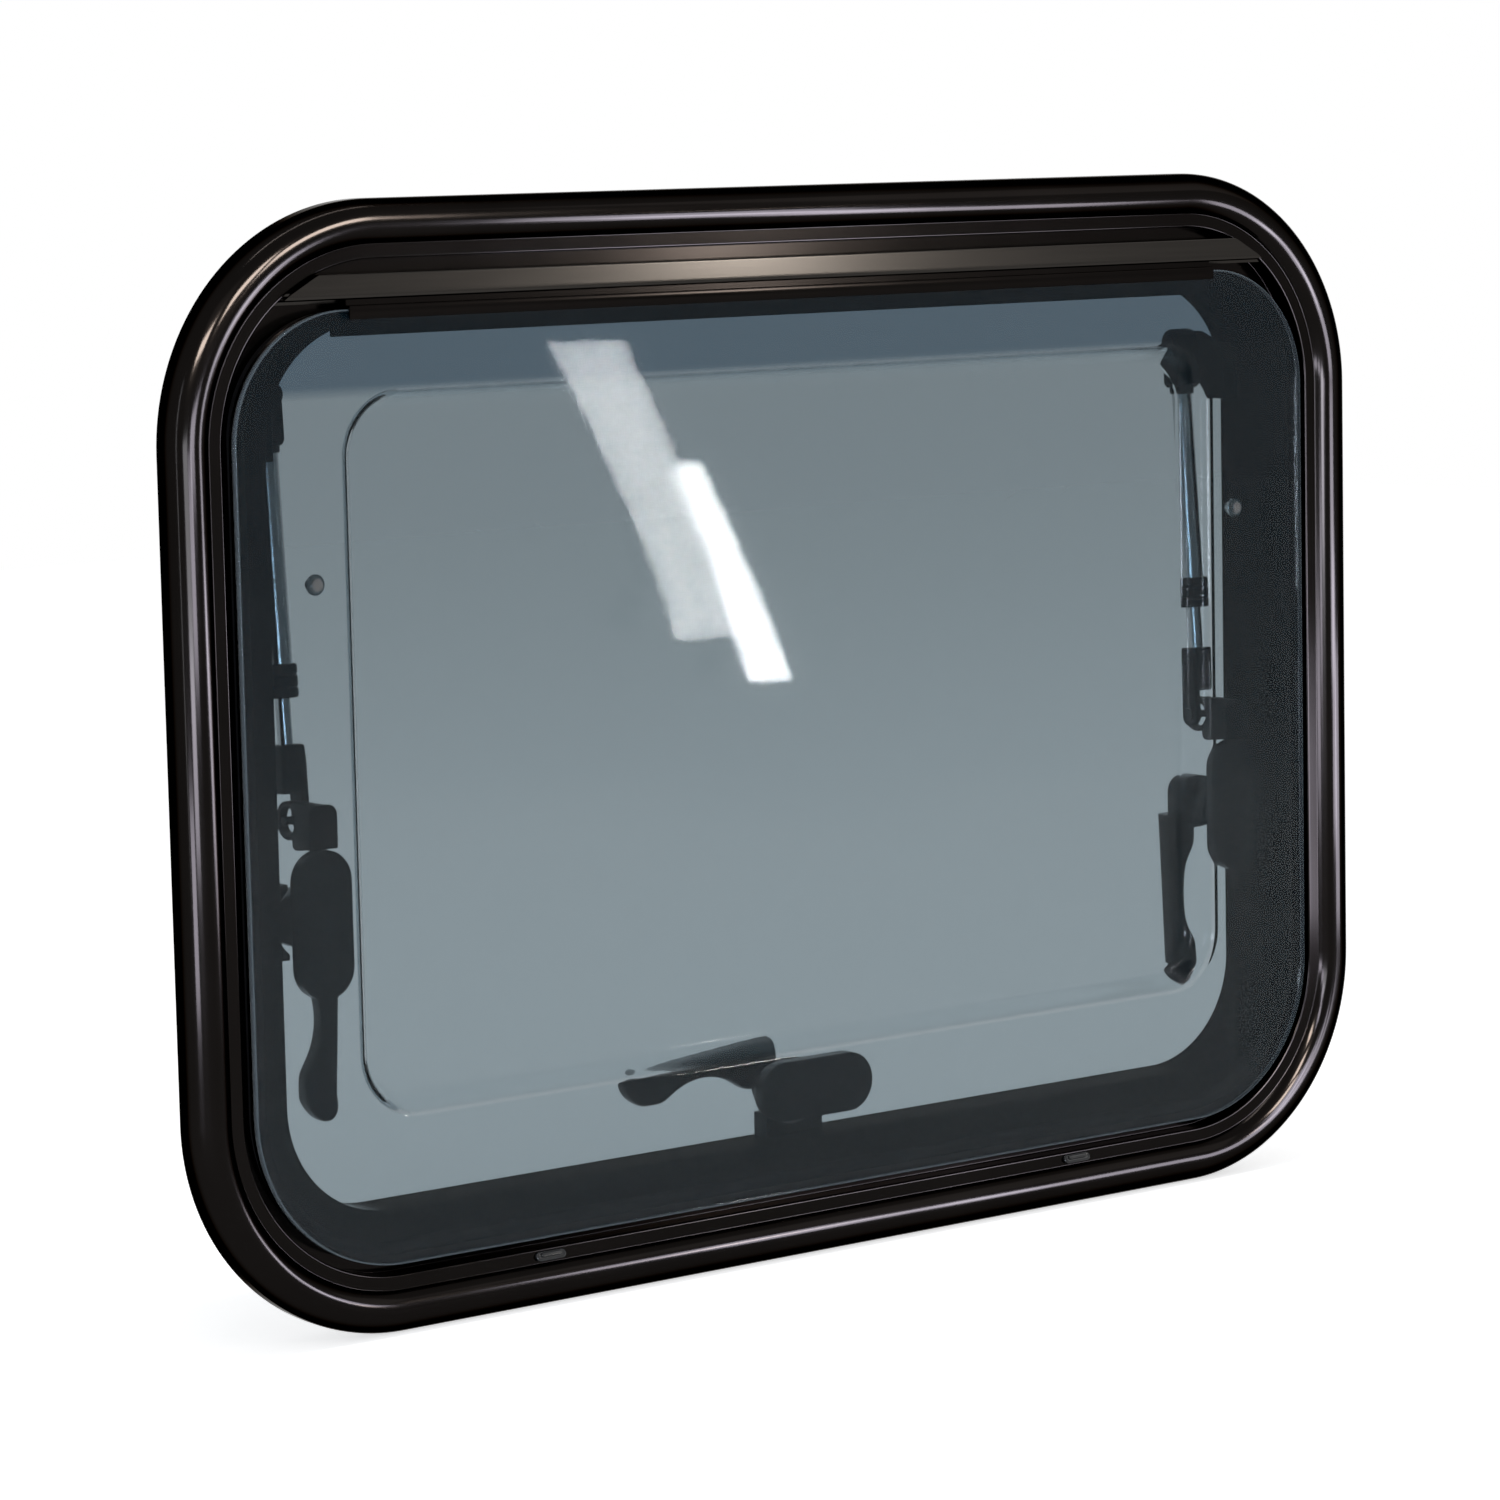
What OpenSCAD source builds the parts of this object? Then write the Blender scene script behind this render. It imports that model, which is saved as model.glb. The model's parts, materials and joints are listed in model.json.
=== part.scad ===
// Top-hung caravan window: an aluminium frame for a cut-out in the wall, with a double acrylic sash.
// +X runs right and +Z up as seen from outside, and +Y points into the vehicle.
// The origin lies on the flange's back face, in the middle of the bottom member.

/* [Cut-out in the wall] */
// Width of the cut-out
cutout_w = 700; // [560:10:1100]
// Height of the cut-out
cutout_h = 500; // [450:10:800]
// Corner radius of the cut-out
cutout_r = 95; // [85:1:102]

/* [Outer frame] */
// Flange width on the wall
overlap = 19; // [14:0.5:24]
// Radius of the round bulge along the outer edge
bulge_r = 11; // [8:0.5:12]
// How far the bulge stands out of the wall
bulge_out = 18; // [15:0.5:22]
// Width of the face, from the outer edge to the sash
face_w = 28; // [26:0.5:32]
// How far the face's inner edge stands out of the wall
face_out = 11.5; // [7:0.5:12]
// Width from the outer edge to the clear opening
reveal_in = 58; // [54:0.5:60]
// Depth of the reveal behind the wall's outer face
reveal_d = 24; // [20:0.5:25]
// Thickness of the frame's inner walls
wall_al = 2.5; // [1.5:0.1:3]
// Gap between the frame's spigot and the cut-out
spigot_gap = 1.5; // [0.5:0.1:2]
// Width of the sealing tape in the flange
tape_w = 5; // [3:0.5:7]
// Thickness of the sealing tape
tape_t = 1.5; // [1:0.1:2]

/* [Sash] */
// Gap between the sash and the frame's face
sash_gap = 5.5; // [5:0.1:7]
// Corner radius at the top of the sash
sash_r_top = 62; // [50:1:64]
// How far the outer sheet stands out of the wall
pane_out = 14; // [13:0.5:16]
// Thickness of the outer sheet
outer_sheet_t = 3; // [2:0.1:4]
// Thickness of the inner sheet
inner_sheet_t = 2.5; // [2:0.1:3]
// Width of the inner sheet's flat rim at the sides
rim_side = 60.5; // [58:0.5:66]
// Width of the inner sheet's flat rim at the top
rim_top = 36; // [30:0.5:50]
// Width of the inner sheet's flat rim at the bottom
rim_bottom = 67.5; // [67:0.5:80]
// Width of the moulded step in the inner sheet
step_w = 12; // [8:0.5:16]
// How far the inner sheet is drawn inwards
dome_d = 15; // [10:0.5:18]
// Corner radius of the moulded step
step_r = 34; // [26:1:40]
// Width of the sash seal
seal_w = 6; // [4:0.5:7]
// Distance from the sash's edge to the seal
seal_in = 3.5; // [2:0.5:5]

/* [Hinge] */
// Distance from the frame's top edge to the hinge axis
hinge_drop = 44.3; // [42:0.1:48]
// Radius of the sash rail's hinge bead
bead_r = 2.4; // [2:0.1:2.6]
// Outer radius of the hinge rail's socket
socket_r = 4; // [3.6:0.1:4.6]
// Height of the hinge rail above the hinge axis
rail_h = 9.8; // [8:0.1:11]
// Thickness of the hinge rail's front
rail_t = 1.4; // [1:0.1:1.4]
// Height of the sash rail's lip over the pane
lip_h = 5; // [3:0.5:8]
// Thickness of the sash rail's lip
lip_t = 1.2; // [1:0.1:1.6]

/* [Latches] */
// Length of the latch base
base_l = 71; // [60:1:90]
// Width of the latch base
base_w = 30; // [28:0.5:32]
// Height of the latch base
base_h = 10.5; // [7:0.5:14]
// Distance from the frame's outer edge to the latch pivots
pivot_in = 83; // [82:0.5:86]
// Distance from the frame's outer edge to the middle of a side latch base
side_base_in = 78; // [77:0.5:80]
// Distance from the frame's outer edge to the middle of the bottom latch base
bottom_base_in = 84.5; // [82:0.5:86]
// Distance of the side latches below the middle of the frame
side_latch_drop = 69; // [40:1:80]
// Height of the latch lever above the sash's rim
lever_z = 26.5; // [24:0.5:34]
// Thickness of the latch lever
lever_t = 12; // [8:0.5:16]
// Length of the latch lever from the pivot to its tip
lever_l = 100; // [85:1:110]
// Radius of the lever's thumb end
thumb_r = 8; // [6:0.5:9]
// Distance from the pivot to the lever's straight edge, at its root
lever_back = 20.4; // [19:0.1:22]
// Distance of the thumb end's middle from the pivot line
thumb_back = 8.5; // [7:0.5:10]
// Radius of the lever's hollow side
hollow_r = 38.5; // [36:0.5:40]
// Distance of the hollow's centre in front of the pivot line
hollow_at = 30; // [29:0.5:32]
// Height of a keeper's seat above the reveal
keeper_h = 5; // [4:0.5:7]
// Gap between a latch's tongue and its keeper
keeper_gap = 2.6; // [2:0.1:4]
// Width of a keeper
keeper_w = 36; // [28:1:40]
// Radius of the latch pivots
latch_pin_r = 3; // [2:0.1:4]

/* [Stays] */
// Distance from the frame's outer edge to the plane of a stay
stay_in = 78; // [76:0.5:80]
// Distance from the frame's top edge to the upper stay pivot
stay_drop = 91; // [88:1:105]
// How far the upper stay pivot lies behind the reveal
stay_rise = 10; // [9:0.5:13]
// Height of the lower stay pivot above the middle of a side latch
stay_lift = 47; // [46:1:60]
// How far the lower stay pivot lies behind the wall's outer face
stay_foot_y = 20; // [14:0.5:21]
// Width of the stay's top end
stay_w = 15; // [13:0.5:15]
// Outer radius of the stay tube
tube_r = 6; // [5:0.1:6.5]
// Wall of the stay tube
tube_wall = 1; // [0.6:0.1:1.2]
// Radius of the sliding rod
rod_r = 3.7; // [3:0.1:3.8]
// Length of the stay's top end below its pivot
top_end_l = 24; // [20:1:30]
// Length of the collar on the tube
collar_l = 16; // [12:1:20]
// Radius of the collar
collar_r = 8; // [7.2:0.1:9]
// Length of the stay's foot above its pivot
foot_l = 36; // [30:1:40]
// Length of bare rod between the collar and the foot
rod_gap = 22; // [16:1:30]
// Radius of the upper stay pivot
stay_pin_r = 3; // [2:0.1:3.5]
// Width of the stay's foot
foot_w = 14; // [12:0.5:14]
// Height of the bracket that carries the upper stay pivot
bracket_h = 30; // [24:1:34]
// Thickness of the bracket's ear
ear_t = 3; // [2:0.5:4]
// Radius of the lower stay pivot
foot_pin_r = 2; // [1.5:0.1:2.4]
// Play of the lower stay pivot in its eye
foot_play = 4.8; // [4.4:0.1:5.2]

/* [Small fittings] */
// Distance of the breather plugs below the frame's top edge
plug_drop = 178; // [160:1:200]
// Radius of a breather plug's head
plug_r = 5; // [4:0.1:6]
// Distance of the drain caps from the middle of the bottom member
drain_x = 170; // [120:1:190]
// Length of a drain cap
drain_l = 18; // [12:0.5:24]
// Width of a drain cap
drain_w = 5; // [4:0.5:6]
// Thickness of a drain cap
drain_t = 1.6; // [1:0.1:2.5]

/* [Hidden] */
$fn = 64;
fit = 0.1; // radial play of a pin that turns or slides
rest = 0.3; // play between pieces that move past each other

frame_r = cutout_r + overlap;
frame_hw = cutout_w / 2 + overlap;
frame_z0 = -overlap / 2;
frame_z1 = frame_z0 + cutout_h + 2 * overlap;
frame_mid = (frame_z0 + frame_z1) / 2;
spigot_in = overlap + spigot_gap;
floor_out = 1; // how far the sash recess's floor stands out of the wall
floor_in = 2; // how far it reaches behind the wall's outer face
port_in = 34; // from the outer edge to the screw port
port_w = 8;
port_d = 20; // depth of the screw port and of the spigot
channel_w = 3; // width of the channel for the fixing screws
channel_d = 14;
tape_in = 2; // from the outer edge to the sealing tape
crease_a = 65; // angle from the bulge's crest to where the flat face starts

sash_in = face_w + sash_gap;
sash_hw = frame_hw - sash_in;
sash_z0 = frame_z0 + sash_in;
sash_r = frame_r - sash_in;
rim_y = -pane_out + outer_sheet_t + inner_sheet_t;
bond_y = -pane_out + outer_sheet_t;
front_y = -(pane_out + lip_t);

hinge_y = front_y + socket_r;
hinge_z = frame_z1 - hinge_drop;
knuckle_gap = 0.9; // between the socket and the sash rail
web_t = 1.5;
neck_t = 1.6;
sash_z1 = hinge_z - socket_r - knuckle_gap - web_t - 0.2;
sash_rail_hl = sash_hw - sash_r_top - 2;
seal_top = 1.1; // from the sash's top edge to the seal

pivot_x = frame_hw - pivot_in;
pivot_z = frame_z0 + pivot_in;
side_z = frame_mid - side_latch_drop;
reveal_x = frame_hw - reveal_in;
tongue_r = pivot_in - reveal_in - keeper_h - keeper_gap;
keeper_t = 10;
pin_z = 3; // height above the rim at which a latch's pivot screw starts
screw_head_h = 2;
hub_z = lever_z - 2;
post_z = hub_z - rest;
hub_top = lever_z + lever_t;

stay_x = frame_hw - stay_in;
stay_y = reveal_d + stay_rise;
stay_z = frame_z1 - stay_drop;
foot_z = side_z + stay_lift;
stay_len = norm([stay_y - stay_foot_y, stay_z - foot_z]);
stay_tilt = atan2(stay_y - stay_foot_y, stay_z - foot_z);
collar_end = stay_len - foot_l - rod_gap;
rod_top = top_end_l + foot_l; // how far the rod reaches up the tube
socket_d = 14; // depth of the sockets for the tube and the rod
stay_gap = 1.5; // between the stay and the bracket's ear
head_t = 1.6; // thickness of the stay pivot's head
eye_r = foot_pin_r + foot_play;
eye_wall = 2.5;
lug_t = 5;

black = [0.045, 0.045, 0.05];
anodised = [0.09, 0.08, 0.078];
satin = [0.42, 0.39, 0.37];
rubber = [0.03, 0.03, 0.032];
tint = [0.42, 0.48, 0.5, 0.55];
tint_inner = [0.5, 0.56, 0.58, 0.45];
steel = [0.72, 0.73, 0.74];

// A flat outline with one radius at its two lower corners and one at its two upper ones
module outline(hw, z0, z1, rb, rt) {
    translate([-hw, z0 + rb]) square([2 * hw, z1 - z0 - rb - rt]);
    translate([-(hw - rb), z0]) square([2 * (hw - rb), rb]);
    translate([-(hw - rt), z1 - rt]) square([2 * (hw - rt), rt]);
    for (side = [-1, 1]) {
        translate([side * (hw - rb), z0 + rb]) circle(rb);
        translate([side * (hw - rt), z1 - rt]) circle(rt);
    }
}

// The frame's outline, moved inwards
module frame_outline(inset) {
    r = frame_r - inset;
    outline(frame_hw - inset, frame_z0 + inset, frame_z1 - inset, r, r);
}

// Stands a flat shape up and gives it thickness from depth y0 to y1
module upright(y0, y1) {
    translate([0, y1, 0]) rotate([90, 0, 0]) linear_extrude(y1 - y0) children();
}

// Runs a section, drawn as depth and height, along the window from x0 to x1
module along(x0, x1) {
    translate([x0, 0, 0]) rotate([90, 0, 90]) linear_extrude(x1 - x0) children();
}

// One quarter turn of a bent section
module bend(x, z, r, turn) {
    translate([x, 0, z]) rotate([-90, 0, 0]) rotate([0, 0, turn])
        rotate_extrude(angle = 90) translate([r, 0]) mirror([1, 0]) children();
}

// Carries a section round an outline. Its first coordinate runs inwards from the outline's edge,
// and its second is depth.
module ring(hw, z0, z1, rb, rt) {
    side_l = z1 - z0 - rb - rt;
    translate([hw, 0, z0 + rb]) linear_extrude(side_l) mirror([1, 0]) children();
    translate([-hw, 0, z0 + rb]) linear_extrude(side_l) children();
    translate([-(hw - rb), 0, z0]) rotate([0, 90, 0])
        linear_extrude(2 * (hw - rb)) mirror([1, 0]) children();
    translate([-(hw - rt), 0, z1]) rotate([0, 90, 0])
        linear_extrude(2 * (hw - rt)) children();
    bend(hw - rb, z0 + rb, rb, 0) children();
    bend(-(hw - rb), z0 + rb, rb, 90) children();
    bend(-(hw - rt), z1 - rt, rt, 180) children();
    bend(hw - rt, z1 - rt, rt, 270) children();
}

module frame_ring() {
    ring(frame_hw, frame_z0, frame_z1, frame_r, frame_r) children();
}

// A round bar along the depth, from y0 to y1
module depth_bar(r, y0, y1) {
    translate([0, y0, 0]) rotate([-90, 0, 0]) cylinder(r = r, h = y1 - y0);
}

// The frame's section: bulge, sloping face, recess floor, spigot, screw port and reveal
module frame_section() {
    centre_y = -(bulge_out - bulge_r);
    intersection() {
        translate([bulge_r, centre_y]) circle(bulge_r);
        translate([0, -bulge_out]) square([2 * bulge_r, bulge_out]);
    }
    translate([0, centre_y]) square([2 * bulge_r, -centre_y]);
    polygon([
        [bulge_r, centre_y],
        [bulge_r + bulge_r * sin(crease_a), centre_y - bulge_r * cos(crease_a)],
        [face_w, -face_out],
        [face_w, 0],
        [bulge_r, 0]
    ]);
    translate([spigot_in, -floor_out]) square([reveal_in - spigot_in, floor_out + floor_in]);
    translate([spigot_in, 0]) square([wall_al, port_d]);
    difference() {
        translate([port_in, 0]) square([port_w, port_d]);
        translate([port_in + (port_w - channel_w) / 2, port_d - channel_d])
            square([channel_w, channel_d + 1]);
    }
    translate([reveal_in - wall_al, -floor_out]) square([wall_al, floor_out + reveal_d]);
}

module outer_frame() {
    color(anodised) frame_ring() difference() {
        frame_section();
        translate([tape_in, -tape_t]) square([tape_w, tape_t + 1]);
    }
}

module flange_tape() {
    color(rubber) frame_ring() translate([tape_in, -tape_t]) square([tape_w, tape_t]);
}

module sash_seal() {
    tip_y = rim_y + rest;
    round_y = tip_y + seal_w / 2;
    hw = sash_hw - seal_in;
    color(rubber)
        ring(hw, sash_z0 + seal_in, sash_z1 - seal_top, sash_r - seal_in, sash_r_top - seal_in) {
            intersection() {
                translate([seal_w / 2, round_y]) circle(seal_w / 2);
                translate([0, tip_y]) square([seal_w, -floor_out - tip_y]);
            }
            if (round_y < -floor_out) translate([0, round_y]) square([seal_w, -floor_out - round_y]);
        }
}

// The hinge rail's section, with the hinge axis at its origin
module rail_section() {
    foot_y = -floor_out - hinge_y;
    difference() {
        circle(socket_r);
        circle(bead_r + fit);
        polygon([for (a = [-24, 0, 22, 46, 69]) [-9 * sin(a), -9 * cos(a)], [0, 0]]);
    }
    translate([-socket_r, 0]) square([rail_t, rail_h]);
    translate([-socket_r, rail_h - rail_t]) square([foot_y + socket_r, rail_t]);
    translate([foot_y - 2, rail_h - 6]) square([2, 6]);
}

module hinge_rail() {
    color(satin) intersection() {
        along(-frame_hw, frame_hw) translate([hinge_y, hinge_z]) rail_section();
        upright(-bulge_out, 0) frame_outline(face_w + rest);
    }
}

// A hooded cap over a drain slot, seated on the sloping face
module drain_cap(side) {
    centre_y = -(bulge_out - bulge_r);
    start = [bulge_r + bulge_r * sin(crease_a), centre_y - bulge_r * cos(crease_a)];
    run = [face_w, -face_out] - start;
    tilt = atan2(run[1], run[0]);
    middle = start + run / 2;
    color(black) translate([side * drain_x, middle[1], frame_z0 + middle[0]]) rotate([90 - tilt, 0, 0])
        linear_extrude(drain_t) stadium(drain_l, drain_w);
}

module drain_cap_left() { drain_cap(-1); }
module drain_cap_right() { drain_cap(1); }

// A bracket on the reveal, whose ear carries the stay's upper pivot
module stay_bracket() {
    ear_x = stay_x + stay_w / 2 + stay_gap;
    foot_y0 = reveal_d - 14;
    foot_y1 = reveal_d - 1;
    foot_z0 = stay_z - bracket_h;
    eye = stay_pin_r + 3;
    head_x = stay_x - stay_w / 2 - rest - head_t;
    color(black) {
        intersection() {
            along(ear_x, reveal_x + 1) translate([foot_y0, foot_z0]) square([foot_y1 - foot_y0, bracket_h]);
            upright(0, reveal_d) frame_outline(reveal_in);
        }
        along(ear_x, ear_x + ear_t) {
            polygon([
                [foot_y1 - 1, foot_z0],
                [foot_y1, foot_z0],
                [stay_y, stay_z - eye],
                [stay_y, stay_z + eye],
                [foot_y1 - 1, stay_z]
            ]);
            translate([stay_y, stay_z]) circle(eye);
        }
        along(head_x, ear_x + 1) translate([stay_y, stay_z]) circle(stay_pin_r);
        along(head_x, head_x + head_t) translate([stay_y, stay_z]) circle(stay_pin_r + 1.6);
    }
}

module stay_bracket_right() { stay_bracket(); }
module stay_bracket_left() { mirror([1, 0, 0]) stay_bracket(); }

// Local frame of a latch: the pivot is the z axis, which points inwards, the tongue points
// along +y to the frame, and the lever along -x.
module at_bottom_latch() {
    translate([0, rim_y, pivot_z]) rotate([-90, 0, 0]) children();
}

module at_right_latch() {
    translate([pivot_x, rim_y, side_z]) rotate([0, -90, 0]) rotate([-90, 0, 0]) children();
}

module at_left_latch() {
    mirror([1, 0, 0]) at_right_latch() children();
}

module stadium(l, w) {
    square([l - w, w], center = true);
    for (end = [-1, 1]) translate([end * (l - w) / 2, 0]) circle(w / 2);
}

// A keeper on the reveal, hollowed round the tongue's path
module keeper() {
    seat_r = tongue_r + keeper_gap;
    wall_y = pivot_in - reveal_in;
    color(black) translate([0, 0, reveal_d / 2 - rim_y]) linear_extrude(keeper_t) difference() {
        translate([-keeper_w / 2, wall_y - keeper_t - 2]) square([keeper_w, keeper_t + 2]);
        circle(seat_r);
    }
}

module keeper_left() { at_left_latch() keeper(); }
module keeper_right() { at_right_latch() keeper(); }
module keeper_bottom() { at_bottom_latch() keeper(); }

// A latch base, whose middle lies shift further from the clear opening than the pivot
module latch_base(shift) {
    color(black) difference() {
        union() {
            translate([0, shift, 0]) linear_extrude(base_h - 2) stadium(base_l, base_w);
            translate([0, shift, 0]) linear_extrude(base_h) stadium(base_l - 4, base_w - 4);
            cylinder(r = latch_pin_r + 5, h = post_z);
        }
        translate([0, 0, pin_z]) cylinder(r = latch_pin_r + fit, h = post_z);
    }
}

module latch_base_left() { at_left_latch() latch_base(pivot_in - side_base_in); }
module latch_base_right() { at_right_latch() latch_base(pivot_in - side_base_in); }
module latch_base_bottom() { at_bottom_latch() latch_base(pivot_in - bottom_base_in); }

// A pivot screw with a slotted head
module pivot_screw() {
    color(steel) difference() {
        union() {
            translate([0, 0, pin_z]) cylinder(r = latch_pin_r, h = hub_top + rest - pin_z);
            translate([0, 0, hub_top + rest]) cylinder(r = latch_pin_r + 2.6, h = screw_head_h);
        }
        translate([-2 * latch_pin_r, -0.5, hub_top + rest + screw_head_h / 2])
            cube([4 * latch_pin_r, 1, screw_head_h]);
    }
}

module pivot_screw_left() { at_left_latch() pivot_screw(); }
module pivot_screw_right() { at_right_latch() pivot_screw(); }
module pivot_screw_bottom() { at_bottom_latch() pivot_screw(); }

// The latch handle: a round hub that is the tongue, and a curved lever with a thumb end
module latch_handle() {
    root = tongue_r - 3;
    tip_x = thumb_r - lever_l;
    color(black) difference() {
        union() {
            translate([0, 0, hub_z]) cylinder(r = tongue_r, h = hub_top - hub_z);
            translate([0, 0, lever_z]) linear_extrude(lever_t) difference() {
                union() {
                    polygon([
                        [root, 0],
                        [root * 0.7, -root],
                        [-root, -lever_back],
                        [tip_x, -thumb_back - thumb_r],
                        [tip_x + thumb_r * 0.75, 1.2],
                        [-root, 1.2]
                    ]);
                    translate([tip_x, -thumb_back]) circle(thumb_r);
                }
                translate([-lever_l / 2, hollow_at]) circle(hollow_r);
            }
        }
        translate([0, 0, hub_z - 1]) cylinder(r = latch_pin_r + fit, h = hub_top - hub_z + 2);
    }
}

module latch_handle_left() { at_left_latch() latch_handle(); }
module latch_handle_right() { at_right_latch() latch_handle(); }
module latch_handle_bottom() { at_bottom_latch() latch_handle(); }

module sash_outline() {
    outline(sash_hw, sash_z0, sash_z1, sash_r, sash_r_top);
}

module outer_pane() {
    color(tint) upright(-pane_out, bond_y) sash_outline();
}

// The inner sheet: a flat rim bonded to the outer sheet, a moulded step and a flat middle
module inner_pane() {
    hw = sash_hw - rim_side;
    z0 = sash_z0 + rim_bottom;
    z1 = sash_z1 - rim_top;
    t = inner_sheet_t;
    color(tint_inner) {
        difference() {
            upright(bond_y, rim_y) difference() {
                sash_outline();
                outline(hw, z0, z1, step_r, step_r);
            }
            for (side = [-1, 1])
                translate([side * stay_x, 0, frame_z1 - plug_drop]) depth_bar(3, bond_y - 1, rim_y + 1);
        }
        ring(hw, z0, z1, step_r, step_r) polygon([
            [0, bond_y],
            [t, bond_y],
            [step_w, bond_y + dome_d],
            [step_w, rim_y + dome_d],
            [step_w - t, rim_y + dome_d],
            [0, rim_y]
        ]);
        upright(bond_y + dome_d, rim_y + dome_d)
            outline(hw - step_w, z0 + step_w, z1 - step_w, step_r - step_w, step_r - step_w);
    }
}

// The rail on the sash's top edge, with the bead that hangs in the hinge rail
module sash_rail() {
    web_z = -(socket_r + knuckle_gap + web_t);
    color(anodised) along(-sash_rail_hl, sash_rail_hl) translate([hinge_y, hinge_z]) {
        circle(bead_r);
        translate([-neck_t / 2, web_z]) square([neck_t, -web_z]);
        translate([-socket_r, web_z]) square([socket_r + rim_y - hinge_y, web_t]);
        translate([-socket_r, web_z - lip_h]) square([lip_t, lip_h + web_t]);
    }
}

module breather_plug(side) {
    color(black) translate([side * stay_x, 0, frame_z1 - plug_drop]) {
        depth_bar(2.9, bond_y, rim_y + 1);
        depth_bar(plug_r, rim_y, rim_y + 2);
        depth_bar(plug_r - 2, rim_y, rim_y + 6);
    }
}

module breather_plug_left() { breather_plug(-1); }
module breather_plug_right() { breather_plug(1); }

// A lug on the sash with an eye for the stay's foot
module stay_lug() {
    foot_top = foot_z + eye_r + eye_wall;
    base_top = side_z + base_l / 2 + rest;
    web_x = stay_x - lug_t / 2;
    color(black) difference() {
        union() {
            along(stay_x - foot_w / 2 - 1, stay_x + foot_w / 2 + 1)
                translate([rim_y, base_top]) square([3, foot_top - base_top]);
            along(web_x, web_x + lug_t) {
                translate([rim_y, base_top]) square([stay_foot_y - rim_y, foot_top - base_top]);
                translate([stay_foot_y, foot_z]) circle(eye_r + eye_wall);
            }
        }
        along(web_x - 1, web_x + lug_t + 1) translate([stay_foot_y, foot_z]) circle(eye_r);
    }
}

module stay_lug_right() { stay_lug(); }
module stay_lug_left() { mirror([1, 0, 0]) stay_lug(); }

// Local frame of a stay: its upper pivot is the origin, and it hangs along -z
module at_right_stay() {
    translate([stay_x, stay_y, stay_z]) rotate([-stay_tilt, 0, 0]) children();
}

module at_left_stay() {
    mirror([1, 0, 0]) at_right_stay() children();
}

module stay_top_end() {
    half = stay_w / 2;
    color(black) difference() {
        union() {
            along(-half, half) circle(half);
            translate([-half, -half, -top_end_l]) cube([stay_w, stay_w, top_end_l]);
        }
        along(-stay_w, stay_w) circle(stay_pin_r + fit);
        translate([0, 0, -top_end_l - 1]) cylinder(r = tube_r, h = socket_d + 1);
    }
}

module stay_top_end_right() { at_right_stay() stay_top_end(); }
module stay_top_end_left() { at_left_stay() stay_top_end(); }

module stay_tube() {
    top = -top_end_l + socket_d;
    bottom = -collar_end + collar_l / 2;
    color(steel) difference() {
        translate([0, 0, bottom]) cylinder(r = tube_r, h = top - bottom);
        translate([0, 0, bottom - 1]) cylinder(r = tube_r - tube_wall, h = top - bottom - 1);
    }
}

module stay_tube_right() { at_right_stay() stay_tube(); }
module stay_tube_left() { at_left_stay() stay_tube(); }

// The black collar that closes the tube and guides the rod
module stay_collar() {
    color(black) difference() {
        translate([0, 0, -collar_end]) cylinder(r = collar_r, h = collar_l);
        translate([0, 0, -collar_end + collar_l / 2]) cylinder(r = tube_r, h = collar_l);
        translate([0, 0, -collar_end - 1]) cylinder(r = rod_r + fit, h = collar_l);
    }
}

module stay_collar_right() { at_right_stay() stay_collar(); }
module stay_collar_left() { at_left_stay() stay_collar(); }

module stay_rod() {
    rod_z = -stay_len + foot_l - socket_d;
    color(steel) translate([0, 0, rod_z]) cylinder(r = rod_r, h = -rod_top - rod_z);
}

module stay_rod_right() { at_right_stay() stay_rod(); }
module stay_rod_left() { at_left_stay() stay_rod(); }

// The rod's foot, with a cheek beside the lug's eye and the pin that lies in the eye
module stay_foot() {
    half = foot_w / 2;
    top = foot_l - stay_len;
    block = foot_l - eye_r - eye_wall - 3.5;
    cheek_t = half - lug_t / 2 - 0.9;
    cheek_x = -half - 0.5;
    color(black) difference() {
        union() {
            translate([-half, -half, top - block]) cube([foot_w, foot_w, block]);
            translate([0, 0, -stay_len]) {
                translate([cheek_x, -half + 1, 0]) cube([cheek_t, foot_w - 2, foot_l - 2]);
                along(cheek_x, cheek_x + cheek_t) circle(half - 1);
                along(cheek_x, lug_t) circle(foot_pin_r);
            }
        }
        translate([0, 0, top - socket_d]) cylinder(r = rod_r, h = 2 * socket_d);
    }
}

module stay_foot_right() { at_right_stay() stay_foot(); }
module stay_foot_left() { at_left_stay() stay_foot(); }

outer_frame();
flange_tape();
sash_seal();
hinge_rail();
drain_cap_left();
drain_cap_right();
stay_bracket_left();
stay_bracket_right();
keeper_left();
keeper_right();
keeper_bottom();
outer_pane();
inner_pane();
sash_rail();
breather_plug_left();
breather_plug_right();
latch_base_left();
latch_base_right();
latch_base_bottom();
pivot_screw_left();
pivot_screw_right();
pivot_screw_bottom();
stay_lug_left();
stay_lug_right();
latch_handle_left();
latch_handle_right();
latch_handle_bottom();
stay_top_end_left();
stay_top_end_right();
stay_tube_left();
stay_tube_right();
stay_collar_left();
stay_collar_right();
stay_rod_left();
stay_rod_right();
stay_foot_left();
stay_foot_right();
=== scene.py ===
"""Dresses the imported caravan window: extrusions, drawn acrylic sheets, moulded fittings and a stage."""

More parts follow.
